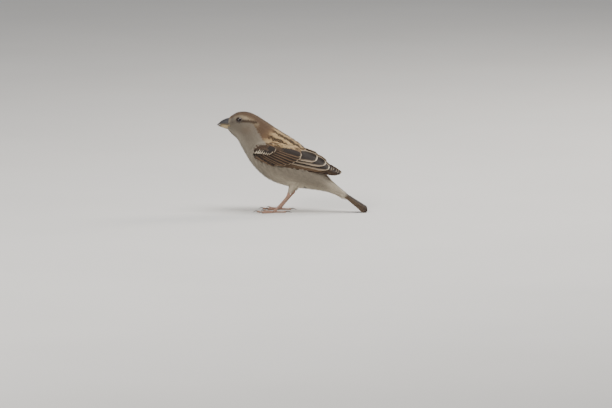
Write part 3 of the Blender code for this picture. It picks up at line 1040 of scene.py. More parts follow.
def lay_wing(face, paints, rng):
    """The wing's feathers in three sets: flight feathers, tertials with greater coverts, small coverts."""
    outward = np.array([1.0, 0, 0])
    dark, edge, pale = paints["wing_dark"], paints["wing_edge"], paints["wing_pale"]
    buff = mix(edge, pale, 0.4)
    flight, large, small = VaneSet(), VaneSet(), VaneSet()

    def put(group, root, tip, half, bow, layer, look, **shape):
        """One feather, a little off its place. Its look is what vane_look asks for after half."""
        root = np.array(root) + rng.normal(0, 0.15, 2)
        tip = np.array(tip) + rng.normal(0, 0.18, 2)
        size = float(np.linalg.norm(tip - root))
        top = wing_vane(face, root, tip, half, bow, layer, rng.uniform(0, 6), **shape)
        group.add(top, outward, vane_look(rng, size, half, *look[:5], **look[5]), size, half)

    def put_row(group, roots, tips, half, bow, layers, look, **shape):
        """A row of feathers. Layers is how proud the first lies and how much prouder each next one."""
        for k, (root, tip) in enumerate(zip(roots, tips)):
            put(group, root, tip, half, bow, layers[0] + layers[1] * k, look(k), **shape)

    # Primaries, then secondaries.
    put_row(
        flight, between((2, 42.6), (-2, 39.2), 7), PRIMARY_TIPS, 2.1, 0.3, (-1.6, -0.14),
        lambda k: (dark * 0.85, edge * 0.8, buff, 0.28, 0.5, {"edge_sides": (0.4, 1)}),
        blunt=0.86, lead=0.62,
    )
    put_row(
        flight, between((-6, 46.2), (-13, 41.8), 7), between((31.0, 37.6), (26.2, 35.6), 7), 2.4, 0.5,
        (-0.72, -0.17),
        lambda k: (dark * 1.05, edge * 0.95, edge, 0.5, 0.6, {"edge_sides": (0.3, 1)}),
        blunt=0.84, lead=0.62,
    )

    # Tertials with their broad pale rims, then the greater and the primary coverts.
    for k, (root, tip, half, bow) in enumerate(TERTIALS):
        look = (dark * 0.85, buff, pale, 0.95, 1.0, {"edge_sides": (0.6, 1)})
        put(large, root, tip, half, bow, -0.62 + 0.24 * k, look, blunt=0.72)
    put_row(
        large, between((-29.0, 49.3), (-12.5, 55.4), 8), GREATER_TIPS, 2.6, 0.5, (-0.46, 0.15),
        lambda k: (dark, edge * 0.95, buff, 0.55, 0.5 + 0.1 * k, {"edge_sides": (0.5, 1)}),
        blunt=0.76, tuck=0.7,
    )
    put_row(
        small, between((-30.4, 46.9), (-30.0, 49.3), 4), PRIMARY_COVERT_TIPS, 1.15, 0.5, (-0.45, 0.15),
        lambda k: (dark * 0.9, edge * 0.8, edge, 0.4, 0, {"edge_sides": (0.3, 1)}),
        blunt=0.74,
    )

    # Median coverts, whose pale tips make the wing's bar.
    tips = (*between((-28.2, 51.4), (-16.0, 50.6), 8), np.array((-14.0, 51.6)), np.array((-12.4, 52.8)))
    roots = [
        tip + np.array([-0.7 - 0.02 * k, 0.7 - 0.02 * k]) * (4.2 + 0.25 * k) for k, tip in enumerate(tips)
    ]
    bar = {"shaft": 0.2, "wrap": 0.2}
    put_row(
        small, roots, tips, 2.0, 0.2, (0.3, 0.05),
        lambda k: (dark * 0.9, edge * 0.7, mix(pale, edge, 0.06 * k), 0.3, 1.05 - 0.05 * k, bar),
        blunt=0.86, tuck=0.6,
    )
    return flight, large, small


# ---- forms that several pieces share

shared = {}
BED_REACH = 2.4  # half the widest groove that the scapulars bridge
BED_START, BED_END = -30.0, 8.0  # where along the bird that groove is filled
WING_FLOOR = 51.0  # the lowest part of the wing that soft feathers lie on
BODY_SMOOTHING = 6  # rounds of smoothing for the body's surfaces
EYE_RING = 3.6  # how far from an eye's centre the head's slope is read


def sizes():
    """The sizes as they are set now."""
    return bpy.context.scene.sparrow_sizes


def scapular_bed():
    """The groove between each wing's upper edge and the back, filled in for the scapulars to lie on."""
    bed = copy_of("scapular bed", ["neck", "trunk", "wing_left", "wing_right"])
    swell(bed, BED_REACH)
    one_skin(bed, sizes().voxel, BODY_SMOOTHING)
    swell(bed, -BED_REACH)
    cut_away(bed, (0, BED_START, 0), (0, -1, 0))
    cut_away(bed, (0, BED_END, 0), (0, 1, 0))
    cut_away(bed, (0, 0, WING_FLOOR), (0, 0, -1))
    return bed


def body_skin(pieces, name):
    """Pieces of the body as one closed surface, a little swollen so that they run together."""
    skin = join(pieces, name)
    swell(skin, 0.2)
    return one_skin(skin, sizes().voxel, BODY_SMOOTHING)


class Forms:
    """What several pieces are laid on: the feathered form, its middle line, the wing's face, the eyes."""

    def __init__(self):
        nodes = ["head", "neck", "trunk", "tail", "bill_upper", "bill_lower"]
        nodes += [part + "_" + side for side in SIDES for part in ("thigh", "wing", "eye")]
        form = body_skin([copy_of("outer form", nodes), scapular_bed()], "outer form")
        self.surface = Surface(form.data)
        bpy.data.objects.remove(form)
        self.line = BodyLine(self.surface)
        self.wing = WingFace()
        self.solids = Solids()
        self.gaze = {side: self.facing(side, sign) for side, sign in SIDES.items()}

    def facing(self, side, sign):
        """The way an eye's opening faces: between straight out and square to the head round it."""
        centre, _ = eye_of(side)
        turn = np.linspace(0, math.tau, 24, endpoint=False)
        ring = np.stack([0 * turn, np.cos(turn), np.sin(turn)], 1)
        ring = centre + EYE_RING * ring + (sign * 2.0, 0, 0)
        _, normals = self.surface.lay(ring)
        return unit(0.45 * np.array([sign, 0, 0]) + 0.55 * unit(normals.mean(0)))

    def from_eye(self, points):
        """How far each place is from the axis of the eye on its side, and the way out from it."""
        away = np.full(len(points), 99.0)
        out = np.zeros_like(points)
        for side, sign in SIDES.items():
            centre, _ = eye_of(side)
            offset = points - centre
            offset = offset - dots(offset, self.gaze[side]) * self.gaze[side]
            here = sign * points[:, 0] > 0
            away = np.where(here, np.linalg.norm(offset, axis=1), away)
            out = np.where(here[:, None], unit(offset), out)
        return away, out


def forms():
    """The shared forms, made once."""
    if "forms" not in shared:
        shared["forms"] = Forms()
    return shared["forms"]


# ---- skin and coat


def skin_finish():
    """The skin under the feathers, in the feathers' colours darkened with painted shade."""
    return painted_finish(
        "feathered skin", 0.85, (900.0, 0.8, 1.05), (0.4, 0.0002), Specular_IOR_Level=0.2
    )


ARM_END = -12.0  # where the skin over the wing's bend stops
STUMP_END = 39.5  # where the tail's root stops


def build_skin():
    """One skin from the bill to the tail's root, in place of the head, neck, trunk and thighs."""
    flesh = ["head", "neck", "trunk", "thigh_left", "thigh_right"]
    body = copy_of("body", flesh)
    stump = copy_of("tail root", ["tail"])
    cut_away(stump, (0, STUMP_END, 0), (0, 1, 0))
    arms = copy_of("arms", ["wing_left", "wing_right"])
    cut_away(arms, (0, ARM_END, 0), (0, 1, 0))
    cut_away(arms, (0, 0, WING_FLOOR), (0, 0, -1))
    skin = body_skin([body, stump, arms], "skin")
    places, normals = read(skin.data), read(skin.data, "normal")
    on_wing = forms().solids.nearest(places) == "wing"
    outer = normals[:, 0] * np.sign(places[:, 0]) > 0
    depth = np.where(on_wing, np.where(outer, 1.0, 0.0), coat_depth(places))
    bare = gape_corner(places)
    write(skin.data, places - normals * ((depth + 0.15) * (1 - bare))[:, None])
    add_map(skin.data, "OFBake", unwrap(places))
    paints = palette()
    base, *_ = markings(places, paints, on_wing)
    base = mix(base, paints["bill_lower"] * 0.9, bare)
    low_wing = on_wing * step(1.0, 4.0, forms().wing.top(places[:, 1]) - places[:, 2])
    # Painted shade: the skin is three quarters as bright as the plumage over it, so the gaps between the
    # feathers look shaded. Low on the wing it takes the wing's dark colour.
    colours = mix(base * 0.75, paints["wing_dark"], low_wing)
    return dress(skin, colours, skin_finish(), "plumage", *flesh)


FACE_END, HEAD_END, NECK_END, TRUNK_END = 11.0, 24.0, 40.0, 92.0  # along the middle line
PLACES_SEED, LIE_SEED, TUFTS_SEED, WING_SEED, TAIL_SEED = 11, 5, 20, 31, 8
BARBS = {"face": 7, "head": 10, "thigh": 8, "neck": 14}  # across a tuft of each region
OTHER_BARBS = 18
SPACING = 0.19  # between soft feathers, as a share of their length
CLOSEST = 0.33  # and never nearer than this


def feathered(points, normals):
    """True where a soft feather grows: not on the eyes, the bill, the wing's vanes or the tail's."""
    made = forms()
    x, y, z = points.T
    part = made.solids.nearest(points)
    away, _ = made.from_eye(points)
    outer = normals[:, 0] * np.sign(x) > 0.1
    scapular = (z > made.wing.top(y) - 2.6) & (y < 5)
    lesser = (z > 53.2 + (y + 34) * 0.08) & (y < -10)
    wing = (part == "wing") & ~(outer & (scapular | lesser))
    tail = (y > 39.0) & (normals[:, 2] > 0) | (y > 41)
    sole = (z < thigh_box()[0][2] + 0.9) & (normals[:, 2] < -0.5)
    ridge = 0.4 * step(1.5, 0.7, np.abs(x)) * step(75.0, 76.0, z)
    edge = 0.8 * step(70.5, 73.0, z) - 0.45 - ridge
    bill = behind_bill(points) < edge + 0.2 * np.sin(5.1 * z + 2.3 * x)
    bare = bill | (gape_corner(points) > 0.5)
    return ~((away < sizes().eye_opening + 0.42) | bare | wing | tail | sole)


def under_wing(points, normals):
    """True on the body's side where the folded wing lies over it."""
    wing = forms().wing
    x, y, z = points.T
    low, high = box_of("wing_left")
    level = (y > low[1]) & (y < high[1]) & (z > wing.bottom(y) - 0.3) & (z < wing.top(y) - 0.5)
    return level & (np.abs(x) < wing.x(y, z) - 0.15) & (np.abs(normals[:, 0]) > 0.3)


def coat_lengths(roots, lengths, on_wing, hidden):
    """Feather lengths, longer for the scapulars and shorter beside the wing's vanes and under them."""
    x, y, z = roots.T
    side = np.abs(x)
    wing = forms().wing
    top = wing.top(y)
    near_top = (np.abs(z - top) < 3.5) & (side > 3)
    scapular = near_top & (np.abs(y + 7.5) < 12)
    lengths = np.where(scapular, np.maximum(lengths, 8.0), lengths)
    lengths = np.where(on_wing & ((z < top - 2.2) | (y < -19)), np.minimum(lengths, 3.8), lengths)
    by_edge = (np.abs(z - wing.bottom(y)) < 1.8) & (y > -28) & (y < 24) & (side > 8)
    lengths = np.where(by_edge, np.minimum(lengths, 3.6), lengths)
    by_top = near_top & (y > -20) & (y < 26)
    lengths = np.where(by_top, np.minimum(lengths, np.clip(10.0 - y, 3.4, 99)), lengths)
    return np.where(hidden, np.minimum(lengths, 2.0), lengths)


def regions(roots, on_wing):
    """The name of the piece that each soft feather belongs to."""
    x, y, z = roots.T
    s, rise, _ = forms().line.place(roots)
    high = thigh_box()[1]
    thigh = (z < high[2]) & (y < high[1] + 1) & (np.abs(x) > 5) & (s < TRUNK_END)
    return np.select(
        [thigh, on_wing, s < FACE_END, s < HEAD_END, s < NECK_END, s > TRUNK_END, rise > 0.15],
        ["thigh", "shoulder", "face", "head", "neck", "tail_covert", "back"],
        "breast_and_belly",
    )


def build_coat():
    """Soft feathers over the whole body in several pieces."""
    made, finish = forms(), down_finish()

    def spacing(points):
        """How far apart the feathers stand."""
        return np.maximum(SPACING * feather_length(points), CLOSEST)

    roots, normals = made.surface.scatter(spacing, feathered, PLACES_SEED)
    keep = feathered(roots, normals)
    roots, normals = roots[keep], normals[keep]
    rng = np.random.default_rng(LIE_SEED)
    ways = lie(roots, normals)
    turn = rng.normal(0, math.radians(8), (len(roots), 1))
    ways = unit(ways * np.cos(turn) + np.cross(normals, ways) * np.sin(turn))
    lengths = feather_length(roots) * np.exp(rng.normal(0, 0.13, len(roots)))
    on_wing = made.solids.nearest(roots) == "wing"
    lengths = coat_lengths(roots, lengths, on_wing, under_wing(roots, normals) & ~on_wing)
    seen, _ = made.surface.lay(roots + ways * lengths[:, None] * 0.7)
    looks = markings(seen, palette(), on_wing)
    region = regions(roots, on_wing)
    widths = lengths * np.where(region == "tail_covert", 0.42, 0.55)
    depths = coat_depth(roots)
    depths = np.where(on_wing, np.minimum(depths, 0.4), depths)
    tufts = (roots, normals, ways, lengths, widths, depths, unwrap(roots), *looks)
    for number, name in enumerate(sorted(set(region))):
        here = [values[region == name] for values in tufts]
        soft_feathers(name + "_feathers", here, finish, TUFTS_SEED + number, BARBS.get(name, OTHER_BARBS))


# ---- wings and tail


def build_wings():
    """The folded wings: flight feathers, tertials with the greater coverts, and the smaller coverts."""
    finish = vane_finish()
    names = ("flight_feathers_", "tertials_and_coverts_", "small_coverts_")
    for side, sign in SIDES.items():
        sets = lay_wing(forms().wing, palette(), np.random.default_rng(WING_SEED))
        pieces = [group.piece(name + side, finish, sign < 0) for name, group in zip(names, sets)]
        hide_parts("wing_" + side)


def tail_slope():
    """The slope and offset of the line along the top of the tail solid's middle."""
    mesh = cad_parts["tail"].data
    tree = tree_of(read(mesh), triangles_of(mesh))
    found = []
    for y in np.arange(35.0, box_of("tail")[1][1], 1.0):
        hit = tree.ray_cast(Vector((0, y, 99)), Vector((0, 0, -1)))[0]
        if hit:
            found.append((y, hit.z))
    heights = np.array(found)[8:]
    return np.polyfit(heights[:, 0], heights[:, 1], 1)


TAIL_ROOT = 32.0  # where the tail feathers start
TAIL_HALF_WIDTH = 5.8  # of the folded tail
TAIL_HANG = ((34, 0.05), (42, 1.3), (50, 3.5), (58, 4.9), (63, 5.2))  # how far its edges hang at each y
TAIL_REST = 1.2  # how much further the outer ends hang, down to the floor


def build_tail():
    """Twelve tail feathers, folded in an arch: the middle pair on top, the outer ones hanging beside."""
    paints = palette()
    rng = np.random.default_rng(TAIL_SEED)
    slope, offset = tail_slope()
    stretch = math.hypot(slope, 1)
    up = np.array([0, -slope, 1.0]) / stretch
    root, end = TAIL_ROOT, box_of("tail")[1][1]
    group = VaneSet()
    s, u = VANE_GRID
    for k in reversed(range(6)):
        for sign in (-1, 1):
            half, reach = 2.75 - 0.04 * k, end - 1.0 + 0.35 * k - root
            y = root + reach * s
            hang = read_off(TAIL_HANG, y)
            arch = (TAIL_HALF_WIDTH**2 + hang**2) / (2 * hang)
            spread = 0.6 + 0.6 * k + rng.normal(0, 0.12)
            across = sign * (0.5 + 0.3 * k + spread * s) + u * half * vane_outline(s, 0.86)
            under = 0.2 + 0.17 * k + 0.06 * (sign > 0) + 0.05 * u * u - 0.06 * np.exp(-((u / 0.06) ** 2))
            turn = (across / arch)[..., None]
            outward = np.array([1.0, 0, 0]) * np.sin(turn) + up * np.cos(turn)
            ridge = np.stack([0 * y, y, slope * y + offset], -1)
            top = ridge - up * (arch + 0.9 * (1 - s) ** 2)[..., None] + outward * (arch - under)[..., None]
            top[..., 2] -= TAIL_REST * s**3 * (across / TAIL_HALF_WIDTH) ** 2
            top[..., 2] = np.maximum(top[..., 2], sizes().vane)
            size = reach * stretch
            edges = (1, 0.5) if sign < 0 else (0.5, 1)
            rims = paints["tail_edge"]
            look = vane_look(rng, size, half, paints["tail"], rims, rims, 0.24, 0.3, edges)
            group.add(top, outward, look, size, half)
    tail = group.piece("tail_feathers", vane_finish())
    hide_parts("tail")


# ---- bill, eyes, legs and claws


def horn_finish(name, roughness):
    """Horn, with fine lengthwise streaks and a low gloss."""
    return painted_finish(
        name, roughness, (2200.0, 0.84, 1.12), (0.25, 0.00005), stretch=(1.0, 0.25, 1.0),
        Specular_IOR_Level=0.32,
    )


def smooth_copy(name, node, crease):
    """A copy of a solid, rounded by subdivision, with its sharp edges partly kept."""
    piece = copy_of(name, [node])
    edit(piece)
    bpy.ops.mesh.select_all(action="DESELECT")
    bpy.ops.mesh.select_mode(type="EDGE")
    bpy.ops.mesh.edges_select_sharp(sharpness=math.radians(48))
    bpy.ops.transform.edge_crease(value=crease)
    bpy.ops.mesh.select_mode(type="VERT")
    bpy.ops.object.mode_set(mode="OBJECT")
    apply_modifier(piece, "SUBSURF", levels=2, render_levels=2)
    piece.data.shade_smooth()
    return piece


NOSTRIL = (-54.3, 76.1)  # its (y, z)


def build_bill():
    """Both halves of the bill, run back into the head, with a nostril on each side."""
    paints = palette()
    for part, down in (("upper", -1), ("lower", 1)):
        node = "bill_" + part
        piece = smooth_copy(part + "_bill", node, 0.75)
        front = box_of(node)[0][1]
        places = read(piece.data)
        x, y, z = places.T
        back = step(-55.2, -53.4, y)
        places = places + back[:, None] * np.array([0, 1.3, 0])
        places[:, 0] *= 1 + 0.05 * back
        tip = step(front + 5.5, front + 0.5, y)
        if part == "upper":
            off = ((y - NOSTRIL[0]) / 0.45) ** 2 + ((z - NOSTRIL[1]) / 0.3) ** 2
            near = np.exp(-off) * (np.abs(x) > 0.8)
            places = places - read(piece.data, "normal") * (0.22 * near)[:, None]
            pale = 0.35 * (1 - tip) * step(74.1, 72.6, z)
            colours = mix(paints["bill_upper"] + 0 * places, paints["bill_lower"], pale)
            # Painted shade in the nostril's hollow.
            colours = mix(colours, colours * 0.3, near)
        else:
            colours = mix(paints["bill_lower"] + 0 * places, paints["bill_upper"], 0.75 * tip)
            # Painted shade: the lower half is darker along its underside.
            colours = mix(colours, paints["bill_upper"], 0.3 * step(70.1, 68.8, z))
        facing = read(piece.data, "normal")[:, 2] * down
        closing = step(0.2, 0.8, facing) * step(front, front + 2.5, y)
        places[:, 2] += 0.17 * closing * down
        write(piece.data, places)
        dress(piece, colours, horn_finish(part + " bill horn", 0.5), part + "_bill_horn", node)


# The eye's rings: how far out each begins, as a share of EYE_REACH, and its colour.
IRIS = (
    (0.0, (0.002, 0.002, 0.002)), (0.36, (0.003, 0.002, 0.002)),
    (0.41, (0.022, 0.009, 0.004)), (0.7, (0.012, 0.006, 0.004)),
)
EYE_REACH = 3.0


def eye_finish(centre, gaze):
    """A dark brown iris round a black pupil, under a wet, clear front."""
    made, tree, shader = new_finish(
        "wet eye", 0.06, Specular_IOR_Level=0.3, Coat_Weight=0.4, Coat_Roughness=0.02, Coat_IOR=1.38
    )
    vectors = {"kind": "ShaderNodeVectorMath"}
    own = add_node(tree, "ShaderNodeTexCoord").outputs["Object"]
    inside = math_node(tree, "SUBTRACT", own, centre * MM, **vectors)
    off_axis = math_node(tree, "CROSS_PRODUCT", inside, gaze, **vectors)
    reach = math_node(tree, "LENGTH", off_axis, output="Value", **vectors)
    share = math_node(tree, "MULTIPLY", reach, 1 / (EYE_REACH * MM))
    ramp = add_node(tree, "ShaderNodeValToRGB", Fac=share)
    stops = ramp.color_ramp.elements
    for k, (place, shade) in enumerate(IRIS):
        stop = stops[k] if k < 2 else stops.new(place)
        stop.position = place
        stop.color = (*shade, 1)
    tree.links.new(ramp.outputs["Color"], shader.inputs["Base Color"])
    return made


def lid_finish():
    """Thin bare skin with fine folds."""
    return painted_finish(
        "eyelid skin", 0.5, (4000.0, 0.8, 1.15), (0.5, 0.00006), Specular_IOR_Level=0.4
    )


def add_ball(place, radius, segments=16, rings=10, turn=0.0):
    """A ball at a place in millimetres, its poles turned towards the sides."""
    deselect()
    bpy.ops.mesh.primitive_uv_sphere_add(
        segments=segments, ring_count=rings, radius=radius * MM, location=place * MM, rotation=(0, turn, 0)
    )
    ball = bpy.context.object
    bpy.ops.object.transform_apply(location=True, rotation=True, scale=True)
    return ball


# Rows round the lids: how far out from the opening, how proud, and how much it follows the head.
LID = (
    (-0.10, -0.50, 0), (-0.03, 0.00, 0), (0.02, 0.07, 0), (0.09, 0.12, 0), (0.17, 0.10, 0.15),
    (0.24, 0.05, 0.35), (0.32, 0.09, 0.55), (0.40, 0.07, 0.75), (0.62, -0.05, 1), (0.95, -0.40, 1),
    (0.9, -1.0, 0.9), (0.3, -1.0, 0.3),
)
# How dark each of those rows is painted: painted shade, darkest where a row sinks towards the eyeball and
# under the feathers, lightest on the proud rims.
LID_PAINTED_SHADES = (0.25, 0.3, 0.4, 0.75, 0.8, 0.45, 0.7, 0.6, 0.5, 0.4, 0.3, 0.3)


LID_TURNS = 120  # vertices round each row of the lids


def lid_rows(side, sign, centre, radius):
    """The vertices of the lids, row by row round the opening."""
    axis = forms().gaze[side]
    aft = unit(np.array([0, 1.0, 0]) - axis[1] * axis)
    up = np.cross(aft, axis) * -sign
    up = up if up[2] > 0 else -up
    places = []
    for a in np.linspace(0, math.tau, LID_TURNS, endpoint=False):
        corner = math.cos(a) ** 12 * (0.16 if math.cos(a) < 0 else 0.1)
        opening = sizes().eye_opening * (1 + corner - 0.03 * abs(math.sin(a)))
        way = aft * math.cos(a) + up * math.sin(a)
        far = centre + way * (opening + 0.7)
        hit = forms().surface.tree.ray_cast(Vector(far + axis * 9), Vector(-axis))[0]
        outer = float((np.array(hit) - centre) @ axis)
        inner = math.sqrt(radius**2 - opening**2)
        wrinkle = 0.018 * math.sin(19 * a) + 0.014 * math.sin(31 * a + 1)
        for reach, proud, share in LID:
            height = inner * (1 - share) + outer * share + proud + wrinkle * (0.1 < reach < 0.6)
            places.append(centre + way * (opening + reach) + axis * height)
    return np.array(places)


def build_eyes():
    """Eyeballs, and round each a closed ring of lids that runs from the eyeball out under the feathers."""
    paints = palette()
    rows = len(LID)
    grey = mix(paints["cheek"], paints["eye_line"], 0.6)
    faces = []
    for i in range(LID_TURNS):
        for j in range(rows):
            a, b = i * rows + j, i * rows + (j + 1) % rows
            c, d = (i + 1) % LID_TURNS * rows + (j + 1) % rows, (i + 1) % LID_TURNS * rows + j
            faces += [(a, b, c), (a, c, d)]
    faces = np.array(faces)
    for side, sign in SIDES.items():
        centre, radius = eye_of(side)
        ball = add_ball(centre, radius, 64, 40, math.pi / 2)
        ball.name = ball.data.name = "eyeball_" + side
        ball.data.shade_smooth()
        ball.data.materials.append(eye_finish(centre, forms().gaze[side]))
        join_frame(ball, "eye", "eye_" + side)
        # Painted shade on the lids, row by row: the sunken rows darker, the proud rims lighter.
        painted_shades = np.tile(LID_PAINTED_SHADES, LID_TURNS)[:, None]
        places = lid_rows(side, sign, centre, radius)
        outward = faces[:, ::-1] if sign > 0 else faces
        make_piece("lids_" + side, places, outward, grey * painted_shades, {}, lid_finish(), "eye")


def leg_finish():
    """Bare leg skin: horny plates with darker joins."""
    return painted_finish(
        "leg skin", 0.46, (3200.0, 0.86, 1.12), (0.35, 0.00006), Specular_IOR_Level=0.45,
        Subsurface_Weight=0.08, Subsurface_Radius=(0.002, 0.001, 0.0006), Subsurface_Scale=0.4,
    )


LEG_VOXEL = 0.16  # size of the cells of the legs' skin


def ends_of(node, side):
    """The two ends of a long solid's main axis, the one nearer the foot's middle first."""
    places = read(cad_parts[node].data)
    shank = read(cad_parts["shank_" + side].data)
    foot = shank[shank[:, 2] < 1.5].mean(0)
    middle = places.mean(0)
    axis = np.linalg.svd(places - middle, full_matrices=False)[2][0]
    reach = (places - middle) @ axis
    ends = [middle + axis * reach.min(), middle + axis * reach.max()]
    return sorted(ends, key=lambda end: np.linalg.norm(end - foot))


def along_bone(points, start, end):
    """How far along a bone each point is in millimetres, and its distance from the bone."""
    bone = end - start
    size = np.linalg.norm(bone)
    t = np.clip((points - start) @ bone / size, 0, size)
    return t, np.linalg.norm(points - start - t[:, None] * bone / size, axis=1)


def leg_balls(node, side):
    """Balls for a toe's knuckles and for the pads under its claw."""
    start, end = ends_of(node, side)
    way = unit(end - start)
    claw = ends_of(node.replace("toe", "claw"), side)[0]
    return [
        add_ball(start - 0.45 * way + (0, 0, 0.05), 0.72), add_ball(end + 0.1 * way + (0, 0, 0.12), 0.6),
        add_ball(claw - 0.35 * way - (0, 0, 0.3), 0.56), add_ball(claw - 1.2 * way - (0, 0, 0.42), 0.5),
    ]


def leg_relief(places, normals, nodes, side):
    """For each place on a leg: the groove beside its plate, its pad, and the way in where the bone thins."""
    best = np.full(len(places), 1e9)
    groove, pad = np.zeros(len(places)), np.zeros(len(places))
    taper = np.zeros_like(places)
    for node in nodes:
        start, end = ends_of(node, side)
        t, off = along_bone(places, start, end)
        nearer = off < best
        best = np.where(nearer, off, best)
        size = np.linalg.norm(end - start)
        middle = start + t[:, None] * (end - start) / size
        shank = node.startswith("shank")
        share = step(size - 2.2, size + 0.2, t) * (0.38 if shank else 0.1)
        taper = np.where(nearer[:, None], share[:, None] * (middle - places), taper)
        phase = (t / (1.9 if shank else 1.0)) % 1.0
        front = np.array([0.1 * SIDES[side], -0.95, 0.3]) if shank else np.array([0, 0, 1.0])
        here = (1 - step(0.0, 0.16, phase)) * step(-0.1, 0.35, normals @ front)
        groove = np.where(nearer, here, groove)
        bulge = 0 if shank else np.abs(np.sin(t * math.pi / 2.3)) * step(-0.5, 0.5, -normals[:, 2])
        pad = np.where(nearer, bulge, pad)
    return groove, pad, taper


def build_legs():
    """Each shank and its toes as one scaled skin, with plates in front and on the toes and pads below."""
    tone = palette()["leg"]
    finish = leg_finish()
    for side in SIDES:
        nodes = ["shank_" + side] + ["toe_" + toe + "_" + side for toe in TOES]
        leg = copy_of("leg_" + side, nodes)
        balls = [ball for node in nodes[1:] for ball in leg_balls(node, side)]
        leg = join([leg, *balls], "leg_" + side)
        swell(leg, 0.17)
        one_skin(leg, LEG_VOXEL, 8)
        places, normals = read(leg.data), read(leg.data, "normal")
        groove, pad, taper = leg_relief(places, normals, nodes, side)
        offset = -0.13 - 0.09 * groove + 0.13 * pad
        places = places + normals * offset[:, None] + taper
        top = box_of("shank_" + side)[1][2]
        places[:, 2] += 2.0 * step(top - 2.0, top, places[:, 2])
        places[:, 2] = np.maximum(places[:, 2], 0)
        write(leg.data, places)
        colours = mix(tone + 0 * places, tone * 0.55, np.clip(0.75 * groove, 0, 1))
        # Painted shade: the skin is darker where it faces down.
        colours = mix(colours, tone * 0.8, step(0.2, 0.8, -normals[:, 2]) * 0.5)
        dress(leg, colours, finish, "leg_skin", *nodes)


def build_claws():
    """The eight claws, rounded and run back into the toes."""
    names = ["claw_" + toe + "_" + side for side in SIDES for toe in TOES]
    pieces = []
    for node in names:
        claw = smooth_copy(node + "_horn", node, 0.5)
        start, end = ends_of(node, node.rsplit("_", 1)[1])
        way = unit(end - start)
        places = read(claw.data)
        along = ((places - start) @ way)[:, None]
        base = step(1.8, 0.2, along)
        places = places - 0.3 * base * (places - start - along * way)
        write(claw.data, places - base * (0.45 * way + (0, 0, 0.12)))
        pieces.append(claw)
    claws = join(pieces, "claws")
    places = read(claws.data)
    places[:, 2] = np.maximum(places[:, 2], 0.02)
    write(claws.data, places)
    colours = palette()["claw"] * (0.8 + 0.4 * step(0.3, 1.4, places[:, 2]))[:, None]
    dress(claws, colours, horn_finish("claw horn", 0.4), "claw_horn", *names)


# ---- floor, light and camera


def floor_finish():
    """A matt pale floor with a faint unevenness."""
    made, tree, shader = new_finish("pale floor", 0.8, Specular_IOR_Level=0.2)
    own = add_node(tree, "ShaderNodeTexCoord").outputs["Object"]
    noise = add_node(tree, "ShaderNodeTexNoise", Scale=6.0, Detail=4.0, Vector=own)
    ramp = add_node(tree, "ShaderNodeValToRGB", Fac=noise.outputs["Fac"])
    for stop, shade in zip(ramp.color_ramp.elements, (0.60, 0.66)):
        stop.color = (shade, shade * 0.985, shade * 0.96, 1)
    tree.links.new(ramp.outputs["Color"], shader.inputs["Base Color"])
    return made


LIT = (0, 0, 0.04)  # the bird's middle, in metres
SEEN = (0, 0.0113, 0.0063)  # what the camera faces, in metres
AZIMUTH, HEIGHT, DISTANCE = 96, 7.5, 6.87  # the camera's: degrees round, degrees up, metres away
PALE_SKY = (0.80, 0.82, 0.85, 1)


def aim(thing, target):
    """Turns a lamp or a camera towards a target."""
    thing.rotation_euler = (target - thing.location).to_track_quat("-Z", "Y").to_euler()


def add_light(name, place, width, watts, tint):
    """A square soft light at a place in metres, facing the bird."""
    light = bpy.data.lights.new(name, "AREA")
    light.shape = "SQUARE"
    light.size = width
    light.energy = watts
    light.color = tint
    lamp = bpy.data.objects.new(name, light)
    bpy.context.scene.collection.objects.link(lamp)
    lamp.location = place
    aim(lamp, Vector(LIT))


def build_stage():
    """A pale floor, soft lights and the camera."""
    deselect()
    bpy.ops.mesh.primitive_plane_add(size=60)
    floor = bpy.context.object
    floor.name = floor.data.name = "floor"
    floor.data.materials.append(floor_finish())
    world = bpy.data.worlds.new("pale surround")
    bpy.context.scene.world = world
    world.use_nodes = True
    surround = world.node_tree.nodes["Background"].inputs
    surround["Color"].default_value = PALE_SKY
    surround["Strength"].default_value = 0.4
    add_light("overhead", (0.1, 0.3, 1.3), 0.8, 22, (1, 0.98, 0.95))
    add_light("key", (1.1, -0.7, 0.9), 0.5, 15, (1, 0.965, 0.91))
    add_light("rim", (-0.8, 0.9, 0.7), 0.45, 12, (1, 0.93, 0.84))
    data = bpy.data.cameras.new("camera")
    data.lens, data.sensor_width, data.clip_end = 300, 22.3, 100
    camera = bpy.data.objects.new("camera", data)
    bpy.context.scene.collection.objects.link(camera)
    round_it, up = math.radians(AZIMUTH), math.radians(HEIGHT)
    way = Vector((math.sin(round_it) * math.cos(up), -math.cos(round_it) * math.cos(up), math.sin(up)))
    camera.location = Vector(SEEN) + way * DISTANCE
    aim(camera, Vector(SEEN))
    bpy.context.scene.camera = camera


# ---- operators, panel and registration


class SPARROW_OT_skin(bpy.types.Operator):
    """Makes the one skin under the feathers"""

    bl_idname = "sparrow.skin"
    bl_label = "Skin"

    def execute(self, context):
        build_skin()
        return {"FINISHED"}


class SPARROW_OT_coat(bpy.types.Operator):
    """Lays the soft feathers of the head, neck, body and thighs"""

    bl_idname = "sparrow.coat"
    bl_label = "Soft feathers"

    def execute(self, context):
        build_coat()
        return {"FINISHED"}


class SPARROW_OT_wings(bpy.types.Operator):
    """Lays the feathers of the folded wings"""

    bl_idname = "sparrow.wings"
    bl_label = "Wings"

    def execute(self, context):
        build_wings()
        return {"FINISHED"}


class SPARROW_OT_tail(bpy.types.Operator):
    """Lays the twelve tail feathers"""

    bl_idname = "sparrow.tail"
    bl_label = "Tail"

    def execute(self, context):
        build_tail()
        return {"FINISHED"}


class SPARROW_OT_bill(bpy.types.Operator):
    """Makes the two halves of the bill"""

    bl_idname = "sparrow.bill"
    bl_label = "Bill"

    def execute(self, context):
        build_bill()
        return {"FINISHED"}


class SPARROW_OT_eyes(bpy.types.Operator):
    """Makes the eyeballs and their lids"""

    bl_idname = "sparrow.eyes"
    bl_label = "Eyes"

    def execute(self, context):
        build_eyes()
        return {"FINISHED"}


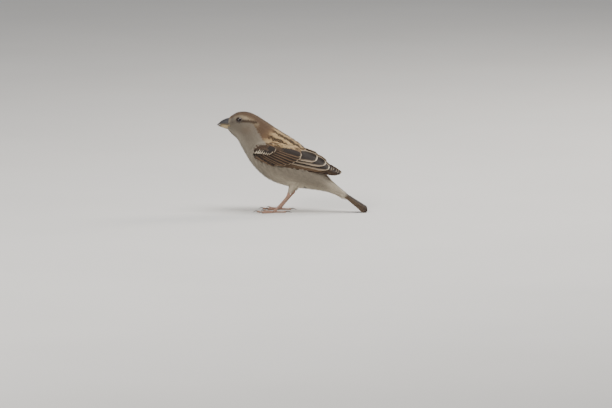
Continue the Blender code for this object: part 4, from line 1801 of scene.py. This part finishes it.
class SPARROW_OT_legs(bpy.types.Operator):
    """Makes the scaled skin of the legs and toes"""

    bl_idname = "sparrow.legs"
    bl_label = "Legs"

    def execute(self, context):
        build_legs()
        return {"FINISHED"}


class SPARROW_OT_claws(bpy.types.Operator):
    """Makes the claws"""

    bl_idname = "sparrow.claws"
    bl_label = "Claws"

    def execute(self, context):
        build_claws()
        return {"FINISHED"}


class SPARROW_OT_stage(bpy.types.Operator):
    """Adds the floor, the lights and the camera"""

    bl_idname = "sparrow.stage"
    bl_label = "Floor, lights and camera"

    def execute(self, context):
        build_stage()
        return {"FINISHED"}


STEPS = (
    SPARROW_OT_skin,
    SPARROW_OT_coat,
    SPARROW_OT_wings,
    SPARROW_OT_tail,
    SPARROW_OT_bill,
    SPARROW_OT_eyes,
    SPARROW_OT_legs,
    SPARROW_OT_claws,
    SPARROW_OT_stage,
)


class SPARROW_PT_parts(bpy.types.Panel):
    """Lists the bird's sizes and colours, and a button for each step."""

    bl_idname = "SPARROW_PT_parts"
    bl_label = "House sparrow"
    bl_space_type = "VIEW_3D"
    bl_region_type = "UI"
    bl_category = "Sparrow"

    def draw(self, context):
        layout = self.layout
        for group in (context.scene.sparrow_sizes, context.scene.sparrow_colours):
            box = layout.box()
            for name in type(group).__annotations__:
                box.prop(group, name)
        for operator in STEPS:
            layout.operator(operator.bl_idname)


CLASSES = (SparrowColours, SparrowSizes, *STEPS, SPARROW_PT_parts)


def register():
    for made in CLASSES:
        bpy.utils.register_class(made)
    bpy.types.Scene.sparrow_colours = bpy.props.PointerProperty(type=SparrowColours)
    bpy.types.Scene.sparrow_sizes = bpy.props.PointerProperty(type=SparrowSizes)


def unregister():
    del bpy.types.Scene.sparrow_sizes
    del bpy.types.Scene.sparrow_colours
    for made in reversed(CLASSES):
        bpy.utils.unregister_class(made)


def main():
    """Makes the whole bird on its stage."""
    register()
    for operator in STEPS:
        group, name = operator.bl_idname.split(".")
        getattr(getattr(bpy.ops, group), name)()


if __name__ == "__main__":
    main()
